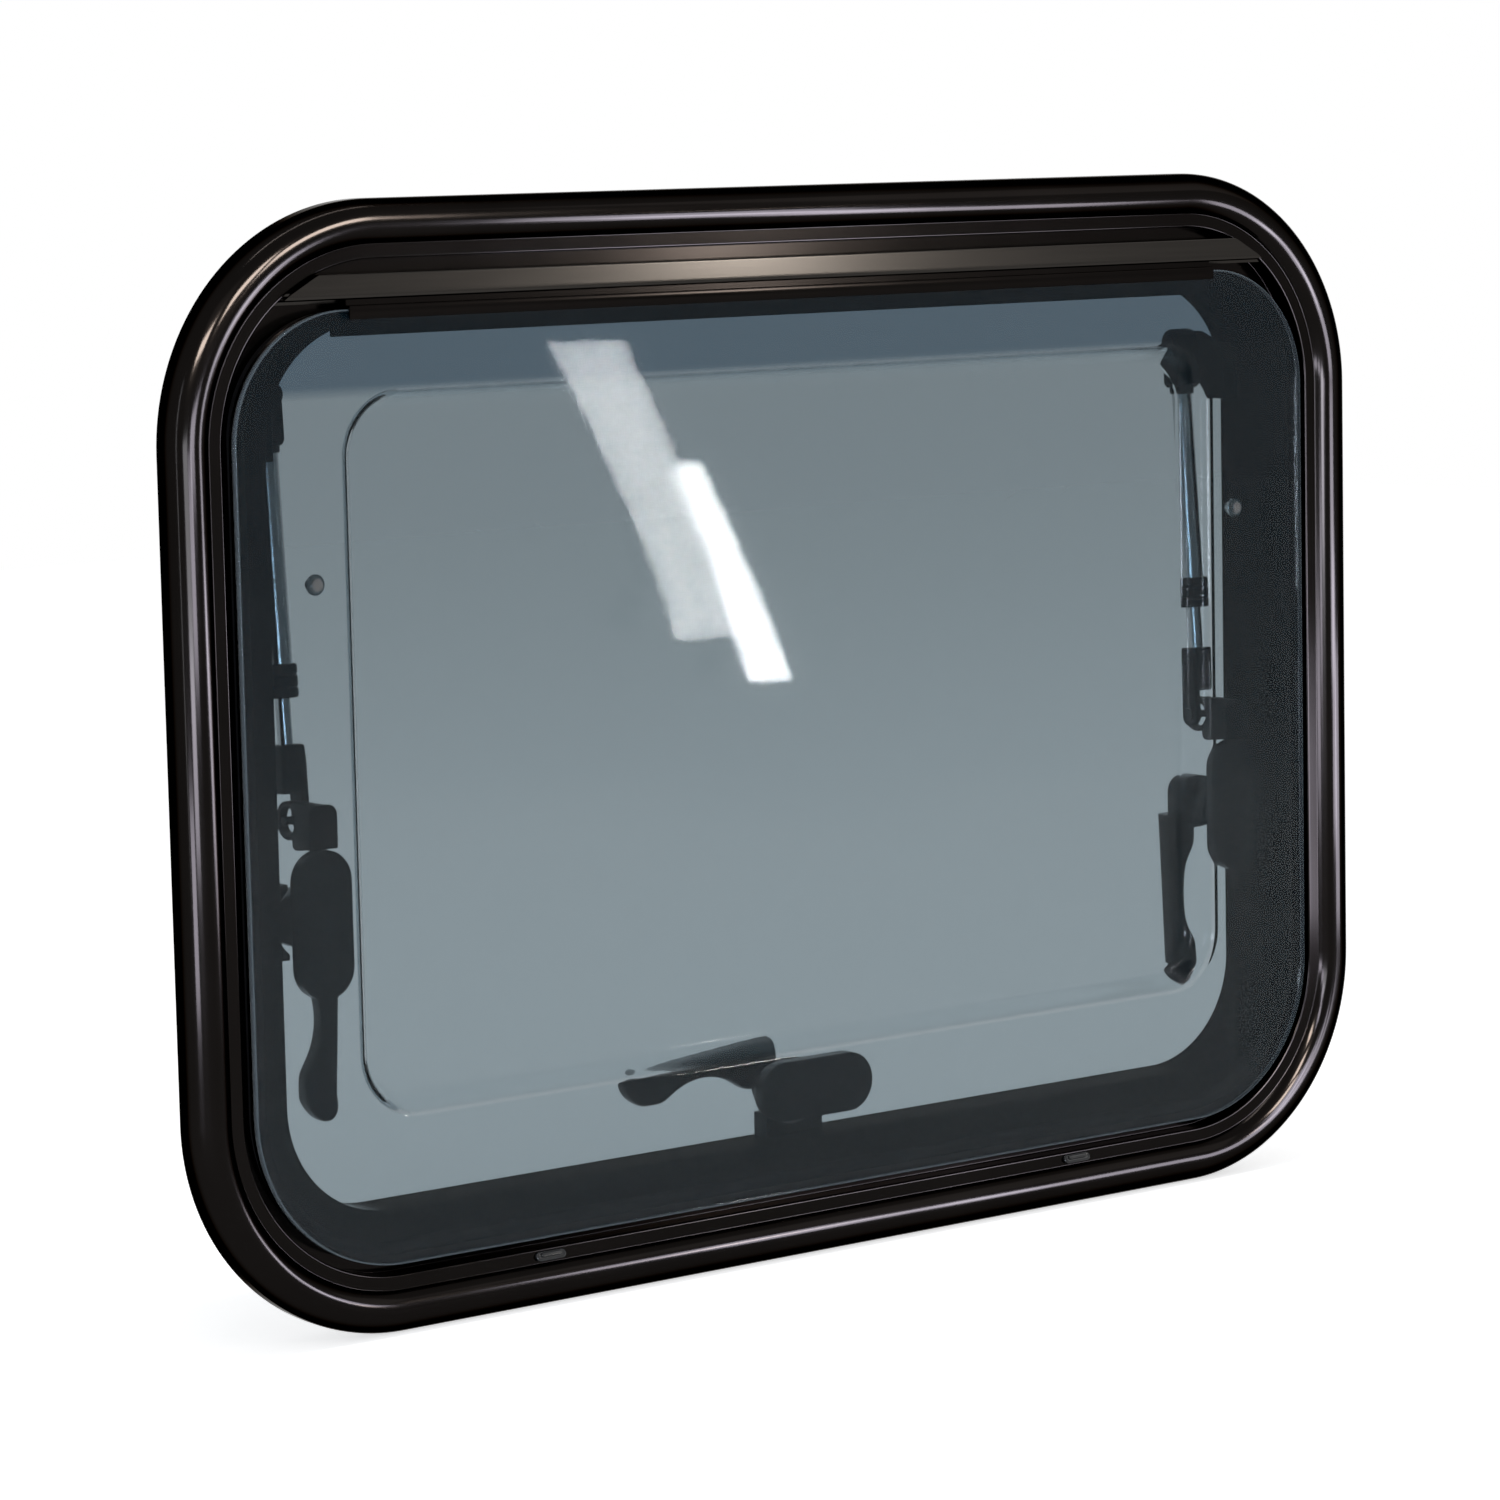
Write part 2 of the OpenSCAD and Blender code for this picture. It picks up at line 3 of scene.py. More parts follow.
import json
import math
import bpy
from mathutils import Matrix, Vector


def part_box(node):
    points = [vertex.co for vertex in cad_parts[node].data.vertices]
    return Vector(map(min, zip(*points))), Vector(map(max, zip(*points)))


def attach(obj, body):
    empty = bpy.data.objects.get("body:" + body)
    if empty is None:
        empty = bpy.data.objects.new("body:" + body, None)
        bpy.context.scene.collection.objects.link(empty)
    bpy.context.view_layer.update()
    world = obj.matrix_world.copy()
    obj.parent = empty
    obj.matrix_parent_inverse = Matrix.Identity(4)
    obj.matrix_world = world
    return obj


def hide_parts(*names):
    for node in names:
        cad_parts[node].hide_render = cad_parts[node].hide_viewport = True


bl_info = {
    "name": "Caravan window dressing",
    "version": (1, 0, 0),
    "blender": (4, 5, 0),
    "location": "3D View > Sidebar > Window",
    "description": "Builds the visible pieces of a top-hung caravan window round its packed frame",
    "category": "Object",
}

import bpy
import numpy as np
from bpy.props import FloatProperty, FloatVectorProperty, IntProperty, PointerProperty
from mathutils import Matrix

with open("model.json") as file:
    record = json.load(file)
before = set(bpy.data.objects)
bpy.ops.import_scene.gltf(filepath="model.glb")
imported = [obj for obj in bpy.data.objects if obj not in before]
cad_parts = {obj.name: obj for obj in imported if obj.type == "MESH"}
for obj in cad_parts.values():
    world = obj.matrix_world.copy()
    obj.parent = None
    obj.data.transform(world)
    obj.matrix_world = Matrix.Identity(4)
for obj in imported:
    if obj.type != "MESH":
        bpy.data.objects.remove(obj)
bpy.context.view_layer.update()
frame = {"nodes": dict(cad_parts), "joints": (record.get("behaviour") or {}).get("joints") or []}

MM = 0.001
SIDES = {"left": -1.0, "right": 1.0}


def box_mm(node):
    """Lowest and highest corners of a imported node, in millimetres."""
    low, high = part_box(node)
    return np.array(low) / MM, np.array(high) / MM


FRAME_LOW, FRAME_HIGH = box_mm("outer_frame")
PANE_LOW, PANE_HIGH = box_mm("outer_pane")
FRAME_MID_Z = (FRAME_LOW[2] + FRAME_HIGH[2]) / 2


def length(name, description, default, low=0.0, high=2000.0):
    """A size in millimetres that a user can change."""
    return FloatProperty(name=name, description=description, default=float(default), min=low, max=high)


def colour(name, description, code):
    """A colour that a user can change, from its sRGB hex value."""
    return FloatVectorProperty(name=name, description=description, default=linear(code),
                               subtype="COLOR", size=4, min=0.0, max=1.0)


def linear(code):
    """Turns an sRGB hex value such as 6f665f into a linear colour."""
    parts = np.array([int(code[i:i + 2], 16) for i in (0, 2, 4)]) / 255.0
    low = parts / 12.92
    high = ((parts + 0.055) / 1.055) ** 2.4
    return (*np.where(parts <= 0.04045, low, high).tolist(), 1.0)


class WINDOW_PG_frame(bpy.types.PropertyGroup):
    """Sizes of the frame, in millimetres."""
    half_width: length("Half width", "Half of the frame's width", FRAME_HIGH[0])
    bottom: length("Bottom", "Height of the frame's lower edge", FRAME_LOW[2], -100.0)
    top: length("Top", "Height of the frame's upper edge", FRAME_HIGH[2])
    corner: length("Corner radius", "Radius of the frame's outer corners", 114.0)
    bulge: length("Bulge radius", "Radius of the round outer edge", 11.0)
    face: length("Face width", "From the outer edge to the sash", 28.0)
    reveal: length("Reveal", "From the outer edge to the clear opening", 58.0)
    corner_steps: IntProperty(name="Corner steps", description="Stations in one corner", default=40, min=8, max=96)


class WINDOW_PG_sash(bpy.types.PropertyGroup):
    """Sizes of the sash, in millimetres."""
    half_width: length("Half width", "Half of the sash's width", PANE_HIGH[0])
    bottom: length("Bottom", "Height of the sash's lower edge", PANE_LOW[2], -100.0)
    top: length("Top", "Height of the sash's upper edge", PANE_HIGH[2])
    corner_low: length("Lower corners", "Radius of the sash's lower corners", 80.5)
    corner_high: length("Upper corners", "Radius of the sash's upper corners", 62.0)
    dome: length("Dome", "How far the inner sheet is drawn inwards", 15.0)
    crown: length("Crown", "How far the drawn sheet bows in its middle", 2.2)


class WINDOW_PG_looks(bpy.types.PropertyGroup):
    """Colours of the finishes."""
    anodised: colour("Anodised black", "Frame extrusions", "131110")
    satin: colour("Anodised satin", "Hinge rail", "2c2a28")
    acrylic: colour("Acrylic tint", "Outer sheet", "040f15")
    drawn: colour("Drawn acrylic", "Inner sheet", "b4c5cd")
    nylon: colour("Nylon", "Moulded fittings", "101113")
    steel: colour("Drawn steel", "Stays", "c9cacb")


class WINDOW_PG_stage(bpy.types.PropertyGroup):
    """Camera and light."""
    azimuth: FloatProperty(name="Azimuth", description="Camera's turn from the front", subtype="ANGLE",
                           default=math.radians(-37.52))
    elevation: FloatProperty(name="Elevation", description="Camera's height angle", subtype="ANGLE",
                             default=math.radians(6.98))
    roll: FloatProperty(name="Roll", description="Camera's tilt", subtype="ANGLE", default=math.radians(-1.22))
    distance: FloatProperty(name="Distance", description="Camera to window", unit="LENGTH", default=2.5508)
    lens: length("Lens", "Focal length on a sensor 36 mm wide", 121.75)


def arc(centre, radius, start, end, steps):
    """Points on a circle from one angle to another, in degrees."""
    a = np.radians(np.linspace(start, end, steps))
    return np.column_stack([centre[0] + radius * np.cos(a), centre[1] + radius * np.sin(a)])


def rounded(points, radii, steps=5):
    """A closed polygon whose corners are arcs.

    At each corner an arc of the given radius touches both sides. A point on each side, a little beyond
    the arc, holds the flat faces flat when the surface is shaded smooth.
    """
    p = np.array(points, dtype=float)
    r = np.array(radii, dtype=float)
    back = np.roll(p, 1, 0) - p
    ahead = np.roll(p, -1, 0) - p
    long_b = np.linalg.norm(back, axis=1)
    long_a = np.linalg.norm(ahead, axis=1)
    ub = back / long_b[:, None]
    ua = ahead / long_a[:, None]
    half = np.arccos(np.clip((ub * ua).sum(1), -1, 1)) / 2
    cut = r / np.tan(half)
    centre = p + (ub + ua) / np.linalg.norm(ub + ua, axis=1)[:, None] * (r / np.sin(half))[:, None]
    s = p + ub * cut[:, None] - centre
    e = p + ua * cut[:, None] - centre
    sweep = np.pi - 2 * half
    w = np.linspace(0, 1, steps)[None, :, None]
    o = sweep[:, None, None]
    bent = centre[:, None] + (np.sin((1 - w) * o) * s[:, None] + np.sin(w * o) * e[:, None]) / np.sin(o)
    hold_b = np.clip((long_b - cut - np.roll(cut, 1)) * 0.3, 0, 0.35)
    hold_a = np.clip((long_a - cut - np.roll(cut, -1)) * 0.3, 0, 0.35)
    first = p + ub * (cut + hold_b)[:, None]
    last = p + ua * (cut + hold_a)[:, None]
    full = np.concatenate([first[:, None], bent, last[:, None]], axis=1).reshape(-1, 2)
    step = np.linalg.norm(full - np.roll(full, 1, 0), axis=1)
    return full[step > 1e-4]


def ring_path(hw, z0, z1, low, high, steps):
    """Stations round a rounded rectangle, with the direction that points inwards at each.

    A station is a corner's centre plus its radius times a unit vector that turns a quarter in each
    corner, and the inward direction is that vector turned round.
    """
    turn = np.radians(np.concatenate([np.linspace(q, q + 90, steps) for q in (0, 90, 180, 270)]))
    cx = np.repeat([hw - high, -(hw - high), -(hw - low), hw - low], steps)
    cz = np.repeat([z1 - high, z1 - high, z0 + low, z0 + low], steps)
    r = np.repeat([high, high, low, low], steps)
    out = np.column_stack([np.cos(turn), np.sin(turn)])
    return np.column_stack([cx, cz]) + r[:, None] * out, -out


def quads(rows, cols, loop_rows=True, loop_cols=True):
    """Faces of a grid of rows by cols points, joined end to end where it loops."""
    i = np.arange(rows if loop_rows else rows - 1)[:, None]
    j = np.arange(cols if loop_cols else cols - 1)[None, :]
    below, beside = (i + 1) % rows * cols, (j + 1) % cols
    return np.stack([i * cols + j, i * cols + beside, below + beside, below + j], axis=-1).reshape(-1, 4)


def outwards(verts, faces, caps):
    """Turns a closed shell's faces round if its volume, summed from tetrahedra at the origin, is negative."""
    v = verts - verts.mean(0)
    a, b, c, d = (v[faces[:, k]] for k in range(4))
    total = (a * np.cross(b, c)).sum() + (a * np.cross(c, d)).sum()
    for cap in caps:
        p = v[cap]
        total += (p[0] * np.cross(p[1:-1], p[2:])).sum()
    if total < 0:
        return faces[:, ::-1], [cap[::-1] for cap in caps]
    return faces, caps


def shell(grid, capped=False):
    """A closed shell from a grid of points, rows by cols by xyz.

    Its last row is joined to the first, or else flat caps close both.
    """
    rows, cols = grid.shape[:2]
    verts = grid.reshape(-1, 3)
    caps = [np.arange(cols)[::-1], np.arange(cols) + (rows - 1) * cols] if capped else []
    return verts, *outwards(verts, quads(rows, cols, not capped), caps)


def swept(path, section):
    """A section's points carried round a path: each is the station plus its first coordinate times the
    inward direction, at its second coordinate's depth."""
    base, inward = path
    flat = base + section[:, None, :1] * inward
    depth = np.broadcast_to(section[:, None, 1], flat.shape[:2])
    return np.stack([flat[..., 0], depth, flat[..., 1]], axis=-1)


def carried(path, section):
    """A closed ring from a section carried round a path."""
    return shell(swept(path, section).swapaxes(0, 1))


def inward_of(outline):
    """Unit directions that point into a closed outline: its chord, from one neighbour to the other, turned a
    quarter to the side where its middle lies."""
    chord = np.roll(outline, -1, 0) - np.roll(outline, 1, 0)
    n = np.column_stack([-chord[:, 1], chord[:, 0]])
    n /= np.linalg.norm(n, axis=1)[:, None]
    area = (outline[:, 0] * np.roll(outline[:, 1], -1) - np.roll(outline[:, 0], -1) * outline[:, 1]).sum()
    return n if area > 0 else -n


def edge_rows(height, soft, start=0.0):
    """Inset and height of the rows of a block whose lower and upper edges are quarter rounds."""
    a = np.radians(np.linspace(0, 90, 5))
    low = np.column_stack([soft * (1 - np.sin(a)), start + soft * (1 - np.cos(a))])
    high = np.column_stack([soft * (1 - np.cos(a)), start + height - soft * (1 - np.sin(a))])
    return np.concatenate([low, high])


def moulded(outline, rows):
    """A moulded block: the outline moved inwards by each row's inset, at that row's height."""
    inward = inward_of(outline)
    flat = outline + rows[:, None, :1] * inward
    height = np.broadcast_to(rows[:, None, 1], flat.shape[:2])
    return shell(np.dstack([flat, height]), capped=True)


def stadium(long, wide, centre=(0.0, 0.0), steps=16):
    """A slot shape: two half circles joined by straight sides."""
    r = wide / 2
    reach = long / 2 - r
    right = arc((centre[0] + reach, centre[1]), r, -90, 90, steps)
    left = arc((centre[0] - reach, centre[1]), r, 90, 270, steps)
    return np.concatenate([right, left])


def turned(profile, steps=48):
    """A turned solid about the z axis, from radius and height along its side, closed by flat ends."""
    a = np.linspace(0, 2 * np.pi, steps, endpoint=False)
    side = np.array(profile)
    r, z = side[:, :1], np.broadcast_to(side[:, 1:], (len(side), steps))
    return shell(np.stack([r * np.cos(a), r * np.sin(a), z], axis=-1), capped=True)


def pin(profile, axis, place, steps=48):
    """A turned solid whose axis lies along x or y, starting at a place."""
    order = {"x": [2, 0, 1], "y": [0, 2, 1]}[axis]
    return moved(turned(profile, steps), lambda v: v[:, order] + place)


def moved(part, mapping):
    """A shell with its points passed through a mapping, and turned outwards again."""
    verts, faces, caps = part
    verts = mapping(verts)
    return verts, *outwards(verts, faces, caps)


def linked(name, data, matrix=None):
    """An object made from its data, moved by a matrix where one is given, and linked to the scene."""
    obj = bpy.data.objects.new(name, data)
    if matrix is not None:
        obj.matrix_world = Matrix(matrix.tolist())
    bpy.context.scene.collection.objects.link(obj)
    return obj


def axes_matrix(x, y, z, place):
    """The matrix of three axes and a place."""
    m = np.eye(4)
    m[:3, 0], m[:3, 1], m[:3, 2], m[:3, 3] = x, y, z, place
    return m


def piece(name, parts, body, replaced, look, mapping=None, sharp=38.0):
    """Makes one object from closed shells in millimetres, and says what it rides on and stands for."""
    if mapping:
        parts = [moved(part, mapping) for part in parts]
    verts, faces, start = [], [], 0
    for v, f, caps in parts:
        verts.append(v)
        faces += (f + start).tolist() + [(cap + start).tolist() for cap in caps]
        start += len(v)
    mesh = bpy.data.meshes.new(name)
    mesh.from_pydata((np.concatenate(verts) * MM).tolist(), [], faces)
    mesh.validate()
    mesh.shade_smooth()
    mesh.set_sharp_from_angle(angle=math.radians(sharp))
    mesh.materials.append(MATERIALS[look])
    obj = linked(name, mesh)
    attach(obj, body)
    if replaced:
        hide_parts(*replaced)
    return obj


def add(tree, kind, inputs=None, **settings):
    """Adds a node with its settings, and gives each input a value or a link."""
    made = tree.nodes.new(kind)
    for key, value in settings.items():
        setattr(made, key, value)
    for key, value in (inputs or {}).items():
        if isinstance(value, bpy.types.NodeSocket):
            tree.links.new(value, made.inputs[key])
        else:
            made.inputs[key].default_value = value
    return made


def finish(name, **sockets):
    """A material with one shader, its constant sockets set, and object coordinates ready."""
    mat = bpy.data.materials.new(name)
    mat.use_nodes = True
    tree = mat.node_tree
    tree.nodes.clear()
    values = {key.replace("_", " "): value for key, value in sockets.items()}
    shader = add(tree, "ShaderNodeBsdfPrincipled", values)
    add(tree, "ShaderNodeOutputMaterial", {"Surface": shader.outputs["BSDF"]})
    coords = add(tree, "ShaderNodeTexCoord").outputs["Object"]
    return mat, tree, shader, coords


def mix(tree, factor, first, second):
    """A mix of two colours, each of them a value or a link."""
    # Of this node's many sockets, 6 and 7 take colours and 2 gives one
    return add(tree, "ShaderNodeMix", {"Factor": factor, 6: first, 7: second}, data_type="RGBA").outputs[2]


def vary(tree, shader, coords, size_mm, spread, base, stretch=(1, 1, 1), detail=3.0):
    """Varies a colour with soft noise of a real size, between a darker and a lighter tone."""
    scaled = add(tree, "ShaderNodeMapping", {"Vector": coords, "Scale": stretch})
    noise = add(tree, "ShaderNodeTexNoise", {"Vector": scaled.outputs["Vector"], "Scale": 1 / (size_mm * MM),
                                             "Detail": detail})
    dark = [c * (1 - spread) for c in base[:3]] + [1.0]
    light = [min(1.0, c * (1 + spread)) for c in base[:3]] + [1.0]
    tree.links.new(mix(tree, noise.outputs["Fac"], dark, light), shader.inputs["Base Color"])
    return noise


def rough(tree, shader, source, low, high):
    """Lets a pattern move the roughness between two values."""
    spread = add(tree, "ShaderNodeMapRange", {"Value": source, "To Min": low, "To Max": high})
    tree.links.new(spread.outputs["Result"], shader.inputs["Roughness"])


def grain(tree, shader, source, depth_mm, strength):
    """Raises a pattern as bump of a real depth."""
    bump = add(tree, "ShaderNodeBump", {"Height": source, "Distance": depth_mm * MM, "Strength": strength})
    tree.links.new(bump.outputs["Normal"], shader.inputs["Normal"])


def anodised_black(base):
    """Bright-dipped, extruded and black-brown anodised aluminium: deep, glossy, with faint drawing lines."""
    mat, tree, shader, coords = finish("anodised_aluminium_black", Metallic=1.0,
                                       Specular_Tint=(0.3, 0.29, 0.28, 1))
    # Clouds of about 60 mm in the oxide's tone, as on a long dyed extrusion
    clouds = vary(tree, shader, coords, 60.0, 0.18, base)
    rough(tree, shader, clouds.outputs["Fac"], 0.11, 0.15)
    # Grit of 0.9 mm, drawn coarser than the real 0.1 mm so that it shows
    fine = add(tree, "ShaderNodeTexNoise", {"Vector": coords, "Scale": 1 / (0.9 * MM), "Detail": 2.0})
    grain(tree, shader, fine.outputs["Fac"], 0.02, 0.05)
    return mat


def anodised_satin(base):
    """Etched satin anodised aluminium: a broad soft sheen with drawing lines along the rail."""
    mat, tree, shader, coords = finish("anodised_aluminium_satin", Metallic=1.0,
                                       Specular_Tint=(0.3, 0.29, 0.28, 1))
    lines = vary(tree, shader, coords, 1.2, 0.10, base, stretch=(0.02, 1.0, 1.0), detail=4.0)
    rough(tree, shader, lines.outputs["Fac"], 0.14, 0.18)
    grain(tree, shader, lines.outputs["Fac"], 0.02, 0.15)
    return mat


def epdm(base):
    """Extruded EPDM rubber: matt, with a faint bloom in patches of 12 mm."""
    mat, tree, shader, coords = finish("epdm_rubber", Specular_IOR_Level=0.12)
    bloom = vary(tree, shader, coords, 12.0, 0.25, base)
    rough(tree, shader, bloom.outputs["Fac"], 0.62, 0.8)
    return mat


def nylon(base):
    """Glass-filled nylon mouldings: spark-eroded grain of 0.8 mm, half matt."""
    mat, tree, shader, coords = finish("nylon_glass_filled", Specular_IOR_Level=0.12, IOR=1.53)
    spark = vary(tree, shader, coords, 0.8, 0.2, base)
    rough(tree, shader, spark.outputs["Fac"], 0.34, 0.5)
    grain(tree, shader, spark.outputs["Fac"], 0.05, 0.25)
    return mat


def gloss_abs(base):
    """Black ABS from a polished mould: a clear gloss with slow sink waves of 15 mm."""
    mat, tree, shader, coords = finish("abs_gloss_black", Specular_IOR_Level=0.3, IOR=1.54)
    sink = vary(tree, shader, coords, 15.0, 0.15, base)
    rough(tree, shader, sink.outputs["Fac"], 0.16, 0.26)
    grain(tree, shader, sink.outputs["Fac"], 0.15, 0.3)
    return mat


def drawn_steel(base):
    """Drawn and polished stainless steel: lengthwise lines and sharp double highlights."""
    mat, tree, shader, coords = finish("stainless_steel_drawn", Metallic=1.0)
    lines = vary(tree, shader, coords, 0.6, 0.06, base, stretch=(1.0, 1.0, 0.02))
    rough(tree, shader, lines.outputs["Fac"], 0.14, 0.24)
    return mat


def by_height(tree, coords, heights, values, **settings):
    """A value that goes from one number to another between two heights in millimetres."""
    split = add(tree, "ShaderNodeSeparateXYZ", {"Vector": coords})
    span = {"Value": split.outputs["Z"], "From Min": heights[0] * MM, "From Max": heights[1] * MM,
            "To Min": values[0], "To Max": values[1]}
    return add(tree, "ShaderNodeMapRange", span, **settings).outputs["Result"]


def paint_edge_highlight(tree, shader, base, edge):
    """Mixes a sheet's colour with a pale painted highlight by the edge attribute, and gives that attribute back.
    """
    edge_highlight = add(tree, "ShaderNodeAttribute", attribute_name="edge").outputs["Fac"]
    tree.links.new(mix(tree, edge_highlight, base, edge), shader.inputs["Base Color"])
    return edge_highlight


def acrylic(name, base, edge, clear_low, clear_high):
    """Cast acrylic sheet with a smoke tint, painted shade that deepens it towards the top, and pale painted
    highlights on its polished edges.

    The sheet's opacity rises between two values with height, which paints the shade. The edge attribute, which is
    1 on a cut edge, paints a pale highlight there and makes the edge more opaque.
    """
    mat, tree, shader, coords = finish(name, Roughness=0.025, IOR=1.49, Specular_IOR_Level=0.08)
    # Painted shade: the sheet grows more opaque, and so darker, towards the top
    painted_shade_alpha = by_height(tree, coords, (200, 445), (clear_low, clear_high), interpolation_type="SMOOTHSTEP")
    # Painted highlight: a pale colour and more opacity on the cut edges
    edge_highlight = paint_edge_highlight(tree, shader, base, edge)
    body = add(tree, "ShaderNodeMix", {"Factor": edge_highlight, "A": painted_shade_alpha, "B": 0.8}, data_type="FLOAT")
    tree.links.new(body.outputs[0], shader.inputs["Alpha"])
    return mat


def drawn_acrylic(name, base, edge):
    """Heated and drawn acrylic: a clear blue-grey sheet that bends the light in its step.

    Light passes through with the sheet's tint, which is darkened above the drawn part as painted shade, and the
    edge attribute paints pale highlights on the rim and on the sharp upper bend.
    """
    mat, tree, shader, coords = finish(name, Roughness=0.02, IOR=1.49, Specular_IOR_Level=0.07,
                                       Transmission_Weight=1.0)
    # Painted shade: the tint turns darker across the top, above the drawn step
    painted_top_shade = by_height(tree, coords, (436, 442), (0.0, 1.0))
    deep = [c * f for c, f in zip(base[:3], (0.42, 0.5, 0.58))] + [1.0]
    paint_edge_highlight(tree, shader, mix(tree, painted_top_shade, base, deep), edge)
    return mat


MATERIALS = {}


def make_materials():
    """Makes every finish once."""
    looks = bpy.context.scene.window_looks
    MATERIALS.update(
        frame=anodised_black(tuple(looks.anodised)),
        satin=anodised_satin(tuple(looks.satin)),
        rubber=epdm(linear("141416")),
        nylon=nylon(tuple(looks.nylon)),
        latch=gloss_abs(linear("101113")),
        steel=drawn_steel(tuple(looks.steel)),
        # The edge colours 6e787f and dfe5ea are pale painted highlights on the sheets' edges and the drawn bend
        outer=acrylic("cast_acrylic_outer", tuple(looks.acrylic), linear("6e787f"), 0.32, 0.38),
        inner=drawn_acrylic("drawn_acrylic_inner", tuple(looks.drawn), linear("dfe5ea")),
    )


def dress(node, key):
    """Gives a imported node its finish."""
    obj = frame["nodes"][node]
    if not obj.material_slots:
        obj.data.materials.append(MATERIALS[key])
    for place in obj.material_slots:
        place.material = MATERIALS[key]


class WINDOW_OT_frame(bpy.types.Operator):
    """The outer frame: a bent ring of extrusion with a round bulge, a flat land, a recess and a reveal"""
    bl_idname = "window.frame"
    bl_label = "Outer frame"

    def execute(self, context):
        s = context.scene.window_frame
        front = FRAME_LOW[1]
        crest = math.radians(65.0)
        tangent = s.bulge + s.bulge * math.tan(crest / 2)
        crease = (s.bulge + s.bulge * math.sin(crest), front + s.bulge - s.bulge * math.cos(crest))
        wall = 2.5
        points = [
            (0, 0), (0, front), (tangent, front), crease, (s.face, -11.5), (s.face, -1), (s.reveal, -1),
            (s.reveal, 24), (s.reveal - wall, 24), (s.reveal - wall, 2), (42, 2), (42, 20), (39.5, 20),
            (39.5, 6), (36.5, 6), (36.5, 20), (34, 20), (34, 2), (23, 2), (23, 20), (20.5, 20), (20.5, 0),
            (7, 0), (7, -1.5), (2, -1.5), (2, 0),
        ]
        radii = [0.5, s.bulge - 0.01, s.bulge - 0.01, 0.5, 0.9, 0.3, 1.0, 0.7, 0.7, 0.4, 0.4, 0.5, 0.4,
                 0.3, 0.3, 0.4, 0.5, 0.4, 0.4, 0.5, 0.5, 0.3, 0.3, 0.3, 0.3, 0.3]
        section = rounded(points, radii, 9)
        path = ring_path(s.half_width, s.bottom, s.top, s.corner, s.corner, s.corner_steps)
        piece("frame_extrusion", [carried(path, section)], "frame", ["outer_frame"], "frame")
        dress("flange_tape", "rubber")
        return {"FINISHED"}


class WINDOW_OT_seal(bpy.types.Operator):
    """The sash seal: a rubber section with a round tip"""
    bl_idname = "window.seal"
    bl_label = "Sash seal"

    def execute(self, context):
        s = context.scene.window_sash
        low, high = box_mm("sash_seal")
        inset = s.half_width - high[0]
        tip, foot = low[1], high[1]
        wide = 6.0
        top = rounded([(0, foot), (0, tip), (wide, tip), (wide, foot)],
                      [0.2, wide / 2 - 0.01, wide / 2 - 0.01, 0.2], 10)
        path = ring_path(high[0], low[2], high[2], s.corner_low - inset, s.corner_high - inset, 32)
        piece("sash_gasket", [carried(path, top)], "frame", ["sash_seal"], "rubber")
        return {"FINISHED"}


def along_x(section, reach):
    """A closed section of depth and height drawn along x, each point out to its own reach on both sides."""
    t = np.array([-1.0, -0.98, 0.98, 1.0])[:, None]
    x = t * reach[None, :]
    y = np.broadcast_to(section[None, :, 0], x.shape)
    z = np.broadcast_to(section[None, :, 1], x.shape)
    return shell(np.stack([x, y, z], axis=-1), capped=True)


HINGE_Y, HINGE_Z = next((j["pos_m"][1] / MM, j["pos_m"][2] / MM) for j in frame["joints"]
                        if j["name"] == "sash_hinge")


